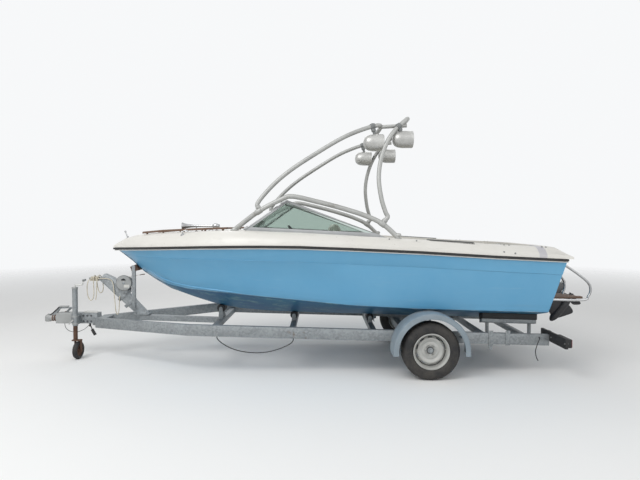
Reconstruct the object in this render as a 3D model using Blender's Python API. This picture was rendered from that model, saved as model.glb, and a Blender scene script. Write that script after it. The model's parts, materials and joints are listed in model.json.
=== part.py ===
import math

import bpy
import bmesh
from mathutils import Matrix, Vector

# A sixteen foot stern-drive runabout on its single-axle trailer.
# X runs towards the bow from the axle, Y to port, Z up from the ground; metres throughout.

GAP = 0.0003  # clearance between pieces that touch
NOSE_REACH = 4.360  # axle to coupling nose
TAIL_REACH = 1.9726  # axle to the raised propeller
BOW_RISE = 0.0275  # slope of the parked trailer and boat, rising to the bow

# Hull and deck
DEADRISE = math.tan(math.radians(14.5))
TRANSOM_RAKE = math.tan(math.radians(13.0))
CREASE_DROP = 0.160
CREASE_STEP = 0.006
HULL_WALL = 0.055
SOLE_Z = 0.800
SOLE_THICKNESS = 0.025
DECK_OVERHANG = 0.012
DECK_LIP = 0.035
COCKPIT_AFT = -1.125
COCKPIT_FORE = 1.550
COCKPIT_HALF = 0.775
COCKPIT_HALF_FORE = 0.695
FOOTWELL_FORE = 1.900
RUB_DEPTH = 0.020
RUB_HEIGHT = 0.024

# Tower
BASE_TUBE = 0.025
HOOP_TUBE = 0.0225
POD_RADIUS = 0.088
POD_LENGTH = 0.230

# Running gear
TYRE_RADIUS = 0.290
TYRE_WIDTH = 0.185
WHEEL_OUTER_Y = 0.950
RIM_RADIUS = 0.1820
HUB_RADIUS = 0.085
WHEEL_STEPS = 32
FENDER_RADIUS = 0.385
FENDER_WIDTH = 0.225
FENDER_SHEET = 0.006
FENDER_INNER_Y = 0.757
AXLE_X = 0.115
AXLE_TUBE = 0.080
DRUM_BRAKE = 0.100
STUB = 0.017

# Trailer frame
RAIL_TOP = 0.4475
RAIL_DEPTH = 0.115
RAIL_WIDTH = 0.050
RAIL_OUTER_Y = 0.720
KNEE_X = 2.470
NOSE_BOX_X = 3.700
NOSE_HALF = 0.060
RAIL_AFT = -1.270
BEAM_DEPTH = 0.060
ROLLER_CORE = 0.030
ROLLER_HALF = 0.065
ROLLER_PIN = 0.008
RUNNING_GAP = 0.0005

# Jockey wheel
JOCKEY_X = 3.940
JOCKEY_Y = 0.130
JOCKEY_TUBE = 0.030
JOCKEY_STEM = 0.024
JOCKEY_STEM_TOP = 0.650
JOCKEY_WHEEL_RADIUS = 0.100
JOCKEY_WHEEL_WIDTH = 0.055

# Stern drive
DRIVE_PIVOT = (-1.420, 0.0, 0.800)
DRIVE_TILT = math.radians(50.0)
DRIVE_HALF = 0.070
SHAFT_DOWN = 0.400
STEER_X = -1.372
LUG_Z = (0.655, 0.930)
LUG_HEIGHT = 0.018
TILT_PIN = 0.010

FINISHES = {
    # name: colour, roughness, metallic
    "hull_blue": ((0.16, 0.38, 0.62), 0.35, 0.0),
    "gelcoat_cream": ((0.82, 0.80, 0.74), 0.40, 0.0),
    "liner_cream": ((0.72, 0.70, 0.64), 0.55, 0.0),
    "black_rubber": ((0.02, 0.02, 0.02), 0.80, 0.0),
    "tower_paint": ((0.68, 0.67, 0.64), 0.45, 0.3),
    "frame_aluminium": ((0.62, 0.63, 0.64), 0.40, 0.9),
    "tinted_glass": ((0.30, 0.50, 0.45), 0.05, 0.0),
    "teak": ((0.30, 0.17, 0.10), 0.60, 0.0),
    "stainless": ((0.72, 0.72, 0.72), 0.22, 1.0),
    "vinyl": ((0.70, 0.70, 0.66), 0.55, 0.0),
    "drive_black": ((0.025, 0.025, 0.03), 0.45, 0.2),
    "engine_grey": ((0.18, 0.19, 0.20), 0.50, 0.6),
    "galvanised": ((0.45, 0.48, 0.50), 0.50, 0.8),
    "rusty_steel": ((0.22, 0.11, 0.06), 0.80, 0.4),
    "wheel_silver": ((0.62, 0.62, 0.60), 0.40, 0.7),
    "tyre_rubber": ((0.03, 0.03, 0.03), 0.85, 0.0),
    "fender_grey": ((0.42, 0.46, 0.49), 0.55, 0.0),
    "rope_cream": ((0.70, 0.66, 0.55), 0.90, 0.0),
    "cable_black": ((0.03, 0.03, 0.03), 0.60, 0.0),
    "webbing": ((0.45, 0.36, 0.26), 0.85, 0.0),
}

for leftover in list(bpy.data.objects):
    bpy.data.objects.remove(leftover)

scene = bpy.context.scene
materials = {}
for finish_name, (colour, rough, metal) in FINISHES.items():
    finish = bpy.data.materials.new(finish_name)
    finish.use_nodes = True
    shader = finish.node_tree.nodes["Principled BSDF"]
    shader.inputs["Base Color"].default_value = (*colour, 1.0)
    shader.inputs["Roughness"].default_value = rough
    shader.inputs["Metallic"].default_value = metal
    materials[finish_name] = finish

# Everything hangs from this empty, which stands on the ground under the axle.
datum = bpy.data.objects.new("axle_datum", None)
datum.location = ((TAIL_REACH - NOSE_REACH) / 2, 0, 0)
scene.collection.objects.link(datum)


# Modelling helpers


def place(name, mesh, finish, pivot=(0, 0, 0)):
    """Make the mesh a named piece whose origin is the pivot."""
    mesh.name = name
    mesh.materials.clear()
    mesh.materials.append(materials[finish])
    mesh.transform(Matrix.Translation(-Vector(pivot)))
    mesh.shade_smooth()
    mesh.set_sharp_from_angle(angle=math.radians(32))
    piece = bpy.data.objects.new(name, mesh)
    scene.collection.objects.link(piece)
    piece.parent = datum
    piece.location = pivot
    return piece


def finish_mesh(bm):
    """Close a bmesh's doubles, turn its faces outwards and hand back a mesh."""
    bmesh.ops.remove_doubles(bm, verts=bm.verts, dist=1e-6)
    bmesh.ops.recalc_face_normals(bm, faces=bm.faces)
    if bm.calc_volume(signed=True) < 0:
        bmesh.ops.reverse_faces(bm, faces=bm.faces)
    mesh = bpy.data.meshes.new("shape")
    bm.to_mesh(mesh)
    bm.free()
    return mesh


def loft(sections):
    """Join loops with the same number of points, and cap both ends."""
    bm = bmesh.new()
    rings = [[bm.verts.new(point) for point in section] for section in sections]
    for ring, following in zip(rings, rings[1:]):
        count = len(ring)
        for i in range(count):
            j = (i + 1) % count
            bm.faces.new((ring[i], ring[j], following[j], following[i]))
    bm.faces.new(rings[0][::-1])
    bm.faces.new(rings[-1])
    return finish_mesh(bm)


def prism(outline, low, high, axis="Y"):
    """Extrude an outline of (x, z), (x, y) or (y, z) pairs along the axis that it leaves out."""
    def corner(pair, along):
        a, b = pair
        return {"X": (along, a, b), "Y": (a, along, b), "Z": (a, b, along)}[axis]
    return loft([[corner(pair, along) for pair in outline] for along in (low, high)])


def box(x, y, z):
    """A block from three (low, high) pairs."""
    return prism([(x[0], z[0]), (x[1], z[0]), (x[1], z[1]), (x[0], z[1])], y[0], y[1])


def turned(profile, steps, centre=(0, 0, 0), axis=(0, 1, 0), ring=False):
    """Spin (radius, height) pairs about an axis; a ring's profile is a closed loop."""
    bm = bmesh.new()
    verts = [bm.verts.new((radius, 0, height)) for radius, height in profile]
    edges = [bm.edges.new(pair) for pair in zip(verts, verts[1:])]
    if ring:
        edges.append(bm.edges.new((verts[-1], verts[0])))
    bmesh.ops.spin(bm, geom=verts + edges, cent=(0, 0, 0), axis=(0, 0, 1), angle=2 * math.pi,
                   steps=steps, use_merge=True)
    turn = Vector((0, 0, 1)).rotation_difference(Vector(axis)).to_matrix().to_4x4()
    bmesh.ops.transform(bm, matrix=Matrix.Translation(centre) @ turn, verts=bm.verts)
    return finish_mesh(bm)


def rod(start, end, radius, steps=12):
    """A round bar between two points."""
    along = Vector(end) - Vector(start)
    profile = [(0, 0), (radius, 0), (radius, along.length), (0, along.length)]
    return turned(profile, steps, start, along.normalized())


def smooth_route(points, per=4):
    """A smooth curve through the points, with a few steps for each span."""
    route = [Vector(point) for point in points]
    route = [2 * route[0] - route[1]] + route + [2 * route[-1] - route[-2]]
    out = []
    for before, a, b, after in zip(route, route[1:], route[2:], route[3:]):
        for step in range(per):
            t = step / per
            out.append(0.5 * (2 * a + (b - before) * t + (2 * before - 5 * a + 4 * b - after) * t * t
                              + (3 * a - before - 3 * b + after) * t ** 3))
    out.append(route[-2])
    return out


def filleted(points, radius, steps=4):
    """The route with each corner turned into an arc of about the given radius."""
    route = [Vector(point) for point in points]
    out = [route[0]]
    for before, corner, after in zip(route, route[1:], route[2:]):
        back = (before - corner).normalized()
        ahead = (after - corner).normalized()
        reach = min(radius, (before - corner).length * 0.45, (after - corner).length * 0.45)
        start = corner + back * reach
        end = corner + ahead * reach
        for step in range(steps + 1):
            t = step / steps
            out.append(start.lerp(corner, t).lerp(corner.lerp(end, t), t))
    out.append(route[-1])
    return out


def tube(route, radius, resolution=2):
    """A round tube with closed ends along a route."""
    curve = bpy.data.curves.new("route", "CURVE")
    curve.dimensions = "3D"
    curve.twist_mode = "MINIMUM"
    curve.bevel_depth = radius
    curve.bevel_resolution = resolution
    curve.use_fill_caps = True
    spline = curve.splines.new("POLY")
    spline.points.add(len(route) - 1)
    for point, position in zip(spline.points, route):
        point.co = (*position, 1)
    holder = bpy.data.objects.new("route", curve)
    bm = bmesh.new()
    bm.from_mesh(bpy.data.meshes.new_from_object(holder))
    bpy.data.objects.remove(holder)
    return finish_mesh(bm)


def combine(operation, first, others):
    """Exact Boolean of one mesh with several."""
    base = bpy.data.objects.new("base", first)
    scene.collection.objects.link(base)
    tools = []
    for mesh in others:
        tool = bpy.data.objects.new("tool", mesh)
        scene.collection.objects.link(tool)
        step = base.modifiers.new("combine", "BOOLEAN")
        step.operation = operation
        step.solver = "EXACT"
        step.object = tool
        tools.append(tool)
    graph = bpy.context.evaluated_depsgraph_get()
    bm = bmesh.new()
    bm.from_mesh(bpy.data.meshes.new_from_object(base.evaluated_get(graph), depsgraph=graph))
    for helper in [base] + tools:
        bpy.data.objects.remove(helper)
    return finish_mesh(bm)


def union(*meshes):
    return combine("UNION", meshes[0], meshes[1:])


def cut(mesh, *cutters):
    return combine("DIFFERENCE", mesh, cutters)


def mirrored(mesh):
    """The same shape on the other side of the boat."""
    bm = bmesh.new()
    bm.from_mesh(mesh)
    bmesh.ops.scale(bm, vec=(1, -1, 1), verts=bm.verts)
    return finish_mesh(bm)


def both_sides(name, mesh, finish, pivot=(0, 0, 0)):
    """A port piece and its mirror image to starboard."""
    other = mirrored(mesh)
    x, y, z = pivot
    place(name + "_port", mesh, finish, pivot)
    place(name + "_starboard", other, finish, (x, -y, z))


def between(table, x, column):
    """Read a column of a table of rows that start with x, in straight lines between rows."""
    rows = sorted(table)
    for low, high in zip(rows, rows[1:]):
        if x <= high[0] or high is rows[-1]:
            t = (x - low[0]) / (high[0] - low[0])
            return low[column] + (high[column] - low[column]) * t


def bar(start, end, normal, width, depth):
    """A rectangular bar between two points: width across, depth along the normal."""
    start, end, normal = Vector(start), Vector(end), Vector(normal).normalized()
    across = (end - start).cross(normal).normalized() * width / 2
    deep = normal * depth / 2
    corners = (across + deep, across - deep, -across - deep, -across + deep)
    return loft([[end_point + corner for corner in corners] for end_point in (start, end)])


# Hull

HULL_STATIONS = [
    # x, keel z, chine y, chine z, sheer y, sheer z
    (-1.216, 0.4500, 0.780, 0.6517, 0.925, 1.2115),
    (-0.600, 0.4669, 0.785, 0.6699, 0.955, 1.2490),
    (0.100, 0.4862, 0.790, 0.6905, 0.975, 1.2922),
    (0.800, 0.5054, 0.772, 0.7250, 0.980, 1.3250),
    (1.300, 0.5200, 0.722, 0.7680, 0.970, 1.3430),
    (1.700, 0.5370, 0.645, 0.7950, 0.925, 1.3450),
    (2.050, 0.5680, 0.552, 0.8180, 0.850, 1.3400),
    (2.320, 0.6180, 0.452, 0.8300, 0.760, 1.3330),
    (2.580, 0.7000, 0.335, 0.8380, 0.650, 1.3240),
    (2.830, 0.7910, 0.200, 0.8620, 0.515, 1.3140),
    (3.020, 0.8950, 0.085, 0.9300, 0.395, 1.3060),
    (3.180, 1.0000, 0.040, 1.0250, 0.285, 1.3000),
    (3.320, 1.1300, 0.020, 1.1500, 0.180, 1.2940),
    (3.430, 1.2150, 0.012, 1.2280, 0.105, 1.2900),
    (3.500, 1.2650, 0.008, 1.2720, 0.055, 1.2870),
]
TRANSOM_X = HULL_STATIONS[0][0]
TRANSOM_CHINE_Z = HULL_STATIONS[0][3]


def transom_x(z):
    """The raked transom's x at a height."""
    return TRANSOM_X - (z - TRANSOM_CHINE_Z) * TRANSOM_RAKE


def hull_half(station):
    """One station's port points, keel to sheer."""
    x, keel, chine_y, chine_z, sheer_y, sheer_z = station
    height = sheer_z - chine_z
    crease = max(sheer_z - CREASE_DROP, chine_z + 0.4 * height)
    slim = min(1.0, chine_y / 0.3)
    belly = 0.018 * slim if x > 1.0 else 0.0
    flat = 0.016 * slim

    def side(z, proud):
        t = (z - chine_z) / height
        swell = 0.030 * min(1.0, sheer_y / 0.5) * t * (1 - t)
        return (chine_y + flat + (sheer_y - chine_y - flat) * t + swell + proud * slim, z)

    step = CREASE_STEP * slim
    band = min(0.004, height * 0.1)
    profile = [
        (0.0, keel),
        (chine_y * 0.5, (keel + chine_z) / 2 - belly),
        (chine_y, chine_z),
        side(chine_z + 0.010 * slim, 0.0),
        side((chine_z + crease) / 2, 0.0),
        side(crease - band, -step),
        side(crease + band, 0.0),
        (sheer_y, sheer_z),
    ]
    raked = x == TRANSOM_X
    return [(transom_x(z) if raked else x, y, z) for y, z in profile]


HULL_HALVES = [hull_half(station) for station in HULL_STATIONS]
SHEER = [half[-1] for half in HULL_HALVES]


def sheer_y(x):
    return between(SHEER, x, 1)


def sheer_z(x):
    return between(SHEER, x, 2)


def keel_z(x):
    return between([half[0] for half in HULL_HALVES], x, 2)


def bottom_z(x, y):
    """The flat run of the bottom, aft of amidships."""
    return keel_z(x) + DEADRISE * abs(y)


def sole_z(x):
    """Top of the hull's inner floor, under the liner."""
    return SOLE_Z + BOW_RISE * x


def well_section(x, inset):
    """The hull's hollow at a station: narrow at the sole and wide at the sheer."""
    low = between(HULL_STATIONS, x, 2) - HULL_WALL - inset
    high = sheer_y(x) - HULL_WALL - inset
    floor = sole_z(x) + (GAP if inset else 0.0)
    top = sheer_z(x) + 0.1
    return [(x, low, floor), (x, high, top), (x, -high, top), (x, -low, floor)]


WELL_X = (COCKPIT_AFT - 0.030, -0.600, 0.100, 0.800, 1.300, 1.700, FOOTWELL_FORE)


def hull():
    sections = []
    for half in HULL_HALVES:
        sections.append(half + [(x, -y, z) for x, y, z in reversed(half[1:])])
    well = loft([well_section(x, 0.0) for x in WELL_X])
    place("hull", cut(loft(sections), well), "hull_blue")


# Deck

HELM = Vector((1.395, -0.385, 1.395))
HELM_AXIS = Vector((-0.80, 0.0, 0.60)).normalized()
COLUMN = 0.014
COLUMN_REACH = 0.125
DECK_TOP = [
    # x, height of the deck's crown
    (-1.400, 1.245), (-1.250, 1.336), (-0.715, 1.358), (0.100, 1.408), (0.500, 1.434),
    (1.300, 1.478), (1.900, 1.500), (2.290, 1.492), (2.520, 1.480), (2.990, 1.463),
    (3.210, 1.438), (3.360, 1.396), (3.500, 1.325), (3.528, 1.303),
]


def deck_half(x):
    """Deck outline from the lip over the sheer up to the crown."""
    base = sheer_z(x) + GAP
    half = sheer_y(x) + DECK_OVERHANG if x <= SHEER[-1][0] else 0.045
    top = between(DECK_TOP, x, 1)
    rise = top - base
    slim = min(1.0, half / 0.45)
    lip = min(DECK_LIP, rise * 0.6)
    return [
        (x, half, base),
        (x, half - 0.004, base + lip),
        (x, half - 0.050 * slim, base + lip + (rise - lip) * 0.55),
        (x, half - 0.105 * slim, base + lip + (rise - lip) * 0.86),
        (x, half - 0.190 * slim, top - 0.008 * slim),
        (x, half * 0.45, top - 0.003 * slim),
    ]


def deck_shell(lift=0.0):
    """The deck's outer form, raised a little when it trims what stands on it."""
    stations = sorted({round(x, 4) for x, y, z in SHEER} | {round(x, 4) for x, top in DECK_TOP})
    sections = []
    for x in stations:
        half = [(x, y, z + lift) for x, y, z in deck_half(x)]
        sections.append(half + [(x, -y, z) for x, y, z in reversed(half)])
    return loft(sections)


def deck():
    corner = 0.16
    plan = [
        (COCKPIT_AFT, COCKPIT_HALF - 0.05), (COCKPIT_AFT + 0.05, COCKPIT_HALF), (0.400, COCKPIT_HALF),
        (COCKPIT_FORE - corner, COCKPIT_HALF_FORE),
        (COCKPIT_FORE - corner * 0.3, COCKPIT_HALF_FORE - corner * 0.3),
        (COCKPIT_FORE, COCKPIT_HALF_FORE - corner),
    ]
    outline = plan + [(x, -y) for x, y in reversed(plan)]
    opening = prism(outline, 1.0, 2.0, "Z")
    dash = prism([
        (COCKPIT_FORE - 0.02, 1.470), (COCKPIT_FORE - 0.090, 1.400), (COCKPIT_FORE - 0.055, 1.190),
        (COCKPIT_FORE - 0.020, 1.190), (COCKPIT_FORE + 0.06, 1.380), (COCKPIT_FORE + 0.06, 1.470),
    ], -0.60, 0.60)
    vents = [
        box((-0.440, 0.010), sorted((side * 0.885, side * 0.800)), (1.335, 1.500))
        for side in (1, -1)
    ]
    helm_bore = rod(HELM - HELM_AXIS * 0.020, HELM - HELM_AXIS * (COLUMN_REACH + GAP),
                    COLUMN + RUNNING_GAP, 16)
    place("deck", cut(union(cut(deck_shell(), opening), dash), helm_bore, *vents), "gelcoat_cream")


def rub_rail():
    """The black fender strip round the sheer, under the deck's lip."""
    port = [Vector((x, y, z)) for x, y, z in SHEER]
    path = port + [Vector((x, -y, z)) for x, y, z in reversed(port)]
    sections = []
    for i, point in enumerate(path):
        before = path[max(i - 1, 0)]
        after = path[min(i + 1, len(path) - 1)]
        back = (point - before).xy if i else (after - point).xy
        ahead = (after - point).xy if i < len(path) - 1 else back
        out_back = Vector((back.y, -back.x)).normalized() * -1
        out_ahead = Vector((ahead.y, -ahead.x)).normalized() * -1
        out = out_back + out_ahead
        out *= 2 / out.length_squared
        ring = []
        for offset, drop in ((0.0006, GAP), (RUB_DEPTH, 0.003), (RUB_DEPTH, RUB_HEIGHT - 0.004),
                             (0.0006, RUB_HEIGHT)):
            ring.append((point.x + out.x * offset, point.y + out.y * offset, point.z - drop))
        sections.append(ring)
    place("rub_rail", loft(sections), "black_rubber")


# Windshield

SHIELD_BAR = 0.026
SHIELD_DEPTH = 0.024
SHIELD_SILL = 0.030  # how far the foot bars run down into the deck's line
PANE = 0.006
SHIELD = {
    "foot": Vector((1.852, 0.700, 1.512)),
    "peak": Vector((1.452, 0.660, 1.792)),
    "tail": Vector((0.470, 0.800, 1.448)),
    "crest": Vector((1.560, 0.0, 1.806)),
}


def inset(corners, normal, distance):
    """A flat polygon moved in by the same distance from each edge."""
    count = len(corners)
    out = []
    for i, corner in enumerate(corners):
        back = (corners[i - 1] - corner).normalized()
        ahead = (corners[(i + 1) % count] - corner).normalized()
        half = back.angle(ahead) / 2
        out.append(corner + (back + ahead).normalized() * distance / math.sin(half))
    return out


def windshield():
    """Two triangular side frames and a bent front frame, each holding its pane."""
    foot, peak, tail, crest = (SHIELD[name] for name in ("foot", "peak", "tail", "crest"))
    front_normal = (peak - foot).cross(crest - peak).normalized()
    nose_z = foot.z + 0.010
    nose_x = foot.x + (front_normal.y * foot.y - front_normal.z * (nose_z - foot.z)) / front_normal.x
    nose = Vector((nose_x, 0.0, nose_z))
    side_normal = (peak - foot).cross(tail - peak).normalized()
    flip = Vector((1, -1, 1))
    upright = (crest - nose).normalized()

    def side_slab(margin, thickness, drop=0.0):
        down = (side_normal * side_normal.z - Vector((0, 0, 1))) * drop
        outline = inset([foot + down, peak, tail + down], side_normal, margin)
        return loft([[p + side_normal * thickness * s for p in outline] for s in (0.5, -0.5)])

    def front_slab(margin, thickness, drop=0.0):
        down = (front_normal * front_normal.z - Vector((0, 0, 1))) * drop
        low, high = inset([foot + down, peak, crest, nose - upright * drop], front_normal, margin)[:2]
        middle_top = crest - upright * margin
        middle_low = nose + upright * (margin - drop)
        offset = front_normal * thickness / 2
        straight = Vector((front_normal.x, 0, front_normal.z)) * thickness / 2
        port = [low + offset, high + offset, high - offset, low - offset]
        centre = [middle_low + straight, middle_top + straight, middle_top - straight, middle_low - straight]
        return loft([port, centre, [p * flip for p in port]])

    half = SHIELD_BAR / 2
    side_frame = cut(side_slab(-half, SHIELD_DEPTH, SHIELD_SILL), side_slab(half, SHIELD_DEPTH * 2))
    front_frame = cut(front_slab(-half, SHIELD_DEPTH, SHIELD_SILL), front_slab(half, SHIELD_DEPTH * 2))
    frame = union(front_frame, side_frame, mirrored(side_frame))
    place("windshield_frame", cut(frame, deck_shell(GAP)), "frame_aluminium")
    edge, depth = -half - GAP, SHIELD_DEPTH + 2 * GAP
    side_pane = cut(side_slab(half + GAP, PANE), front_slab(edge, depth))
    both_sides("glass_side", side_pane, "tinted_glass")
    front_pane = cut(front_slab(half + GAP, PANE), side_slab(edge, depth), mirrored(side_slab(edge, depth)))
    place("glass_front", front_pane, "tinted_glass")


# Tower

BASE_ROUTE = [
    # x, y, z of the port base rail, foredeck foot to gunwale foot
    (2.000, 0.630, 1.502), (1.740, 0.690, 1.690), (1.500, 0.735, 1.812), (1.387, 0.745, 1.840),
    (1.143, 0.755, 1.788), (0.879, 0.770, 1.718), (0.654, 0.790, 1.645), (0.477, 0.815, 1.560),
    (0.323, 0.850, 1.420),
]
FRONT_HOOP = [
    # x, y, z of the port half, from the base rail up and over
    (1.735, 0.690, 1.715), (1.750, 0.688, 1.776), (1.600, 0.675, 1.955), (1.409, 0.660, 2.119),
    (1.144, 0.640, 2.295), (0.876, 0.620, 2.455), (0.673, 0.605, 2.543), (0.511, 0.585, 2.592),
    (0.458, 0.480, 2.595), (0.458, 0.0, 2.600),
]
REAR_HOOP = [
    (0.470, 0.815, 1.575), (0.424, 0.808, 1.629), (0.445, 0.800, 1.680), (0.481, 0.775, 1.807),
    (0.505, 0.740, 1.991), (0.494, 0.710, 2.151), (0.451, 0.680, 2.313), (0.380, 0.655, 2.463),
    (0.289, 0.625, 2.575), (0.200, 0.580, 2.655), (0.177, 0.480, 2.672), (0.177, 0.0, 2.678),
]
LINK_Y = 0.545
LINK_DROP = 0.012  # the links' height below the front hoop's crown
POD_Y = 0.600
PODS = {
    # hoop: x and z of its pods' centres
    "front": (0.536, 2.409),
    "rear": (0.233, 2.443),
}
POD_PROFILE = [
    # radius, distance forward of the pod's middle
    (0, -0.115), (0.078, -0.115), (POD_RADIUS, -0.100), (POD_RADIUS, 0.020), (0.080, 0.062),
    (0.060, 0.095), (0.034, 0.111), (0, 0.116),
]


def whole_hoop(half):
    return half + [(x, -y, z) for x, y, z in reversed(half[:-1])]


def tower():
    base_route = smooth_route(BASE_ROUTE, 3)
    pad_foot = Vector(BASE_ROUTE[0])
    rear_foot = Vector(BASE_ROUTE[-1])
    deck_fore = deck_surface(pad_foot.x, pad_foot.y)
    deck_aft = deck_surface(rear_foot.x, rear_foot.y)
    front_pad = rod((pad_foot.x, pad_foot.y, deck_fore - 0.010),
                    (pad_foot.x, pad_foot.y, deck_fore + 0.026), 0.042)
    ball = turned([(0, -0.028), (0.020, -0.022), (0.029, 0.0), (0.020, 0.022), (0, 0.028)], 12,
                  (rear_foot.x, rear_foot.y, deck_aft + 0.030), (0, 0, 1))
    neck = rod((rear_foot.x, rear_foot.y, deck_aft - 0.010), rear_foot + Vector((0.01, 0, 0.01)), 0.018)
    base = cut(union(tube(base_route, BASE_TUBE), front_pad, ball, neck), deck_shell(GAP))
    both_sides("tower_base", base, "tower_paint")

    keep_clear = tube(base_route, BASE_TUBE + GAP)
    clear = (keep_clear, mirrored(keep_clear))
    hoops = {"front": smooth_route(whole_hoop(FRONT_HOOP), 2), "rear": smooth_route(whole_hoop(REAR_HOOP), 2)}
    shapes = {name: [tube(route, HOOP_TUBE)] for name, route in hoops.items()}
    link_z = FRONT_HOOP[-1][2] - LINK_DROP
    for side in (1, -1):
        link = [(x, side * LINK_Y, link_z) for x in (FRONT_HOOP[-1][0], REAR_HOOP[-1][0] + HOOP_TUBE)]
        shapes["front"].append(rod(*link, 0.020, 10))
        for name, (x, z) in PODS.items():
            shapes[name].append(turned(POD_PROFILE, 18, (x, side * POD_Y, z), (1, 0, 0)))
            foot = Vector((x - 0.02, side * (POD_Y - 0.02), z + 0.05))
            hang = min(hoops[name], key=lambda p: (p - foot).length)
            shapes[name].append(rod(foot, hang, 0.013, 8))
    rear_clear = tube(hoops["rear"], HOOP_TUBE + GAP)
    place("tower_front_hoop", cut(union(*shapes["front"]), *clear, rear_clear), "tower_paint")
    place("tower_rear_hoop", cut(union(*shapes["rear"]), *clear), "tower_paint")


# Deck fittings


def deck_surface(x, y):
    """Height of the deck's upper surface."""
    half = [(-py, pz) for px, py, pz in deck_half(x)]
    return between([(py, pz) for py, pz in half], -abs(y), 1) if abs(y) > half[-1][0] * -1 else half[-1][1]


def grab_rails():
    """Teak rails on short posts, one each side of the foredeck."""
    fore, aft, lift = (3.100, 0.245), (2.090, 0.570), 0.014
    steps = 4
    top = []
    for i in range(steps + 1):
        t = i / steps
        x = fore[0] + (aft[0] - fore[0]) * t
        y = fore[1] + (aft[1] - fore[1]) * t
        top.append(Vector((x, y, deck_surface(x, y) + lift + 0.011)))
    across = (top[-1] - top[0]).cross(Vector((0, 0, 1))).normalized()
    rail = loft([[p + across * w * 0.016 + Vector((0, 0, h)) for w, h in
                  ((-1, -0.011), (1, -0.011), (1, 0.006), (0.6, 0.011), (-0.6, 0.011), (-1, 0.006))]
                 for p in top])
    posts = []
    for p in (top[0].lerp(top[1], 0.2), top[1], top[2], top[3], top[3].lerp(top[4], 0.8)):
        posts.append(rod((p.x, p.y, deck_surface(p.x, p.y) - 0.010), (p.x, p.y, p.z), 0.011, 8))
    both_sides("grab_rail", cut(union(rail, *posts), deck_shell(GAP)), "teak")


def horn():
    """Trumpet horn lying along the foredeck, bell forward."""
    y = 0.360
    seat = deck_surface(2.30, y)
    axis_z = seat + 0.050
    profile = [(0, 0), (0.022, 0.002), (0.022, 0.050), (0.010, 0.080), (0.011, 0.200), (0.015, 0.300),
               (0.024, 0.360), (0.042, 0.405), (0.042, 0.409), (0.020, 0.395), (0, 0.380)]
    trumpet = turned(profile, 16, (2.215, y, axis_z), (1, 0, 0))
    saddles = []
    for x in (2.245, 2.47):
        saddles.append(rod((x, y, deck_surface(x, y) - 0.010), (x, y, axis_z), 0.009, 8))
    place("horn", cut(union(trumpet, *saddles), deck_shell(GAP)), "stainless")


# Cockpit

SEAT_FORE = 1.400
SEAT_AFT = 0.480
SEAT_TOP = 1.050
SEAT_Y = (0.130, 0.640)
ENGINE_BOX_X = (-1.095, -0.360)
ENGINE_BOX_HALF = 0.330
ENGINE_BOX_TOP = 1.275
BOX_WALL = 0.022
MOULD_DRAFT = 0.040  # slope of the moulded end walls
LID_THICKNESS = 0.040


def floor_box(aft, fore, y, top):
    """A box that starts inside the sole and ends level, a little wider at its foot."""
    floor = [sole_z(x) + SOLE_THICKNESS / 2 for x in (aft, fore)]
    aft_low = aft - MOULD_DRAFT * (top - floor[0])
    fore_low = fore + MOULD_DRAFT * (top - floor[1])
    return prism([(aft_low, floor[0]), (fore_low, floor[1]), (fore, top), (aft, top)], *y)


def cockpit_liner():
    """Sole, seat boxes and engine box, moulded in one."""
    sole = []
    for x in WELL_X:
        aft = 0.002 if x == WELL_X[0] else 0.0
        fore = 0.002 if x == WELL_X[-1] else 0.0
        low = well_section(x, 0.0015)
        ring = [(x + aft - fore, y, z) for x, y, z in (low[0], low[3])]
        half = ring[0][1]
        floor = ring[0][2]
        sole.append([(ring[0][0], half, floor), (ring[0][0], half, floor + SOLE_THICKNESS),
                     (ring[0][0], -half, floor + SOLE_THICKNESS), (ring[0][0], -half, floor)])
    pieces = [loft(sole)]
    for side in (1, -1):
        y = sorted((side * (SEAT_Y[0] + 0.02), side * (SEAT_Y[1] - 0.02)))
        pieces.append(floor_box(SEAT_AFT + 0.03, SEAT_FORE - 0.03, y, SEAT_TOP))
    x0, x1 = ENGINE_BOX_X
    outer = floor_box(x0, x1, (-ENGINE_BOX_HALF, ENGINE_BOX_HALF), ENGINE_BOX_TOP)
    floor = sole_z(x1) + SOLE_THICKNESS + 0.004
    inner = box((x0 + BOX_WALL, x1 - BOX_WALL), (-ENGINE_BOX_HALF + BOX_WALL, ENGINE_BOX_HALF - BOX_WALL),
                (floor, ENGINE_BOX_TOP + 0.1))
    place("cockpit_liner", cut(union(*pieces, outer), inner), "liner_cream")

    engine_x = (x0 + BOX_WALL + 0.020, x1 - BOX_WALL - 0.080)
    block = prism([(engine_x[0], floor + GAP), (engine_x[1], floor + GAP), (engine_x[1], floor + 0.330),
                   (engine_x[1] - 0.08, floor + 0.400), (engine_x[0] + 0.10, floor + 0.400),
                   (engine_x[0], floor + 0.330)], -0.230, 0.230)
    place("engine_block", block, "engine_grey")

    hinge = (x0 - 0.004, 0, ENGINE_BOX_TOP + GAP + LID_THICKNESS)
    lid = prism([(x0 - 0.004, ENGINE_BOX_TOP + GAP), (x1 + 0.012, ENGINE_BOX_TOP + GAP),
                 (x1 + 0.012, ENGINE_BOX_TOP + LID_THICKNESS - 0.012), (x1, ENGINE_BOX_TOP + LID_THICKNESS),
                 (x0 - 0.004, ENGINE_BOX_TOP + LID_THICKNESS)],
                -ENGINE_BOX_HALF - 0.010, ENGINE_BOX_HALF + 0.010)
    place("engine_hatch", lid, "gelcoat_cream", hinge)


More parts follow.
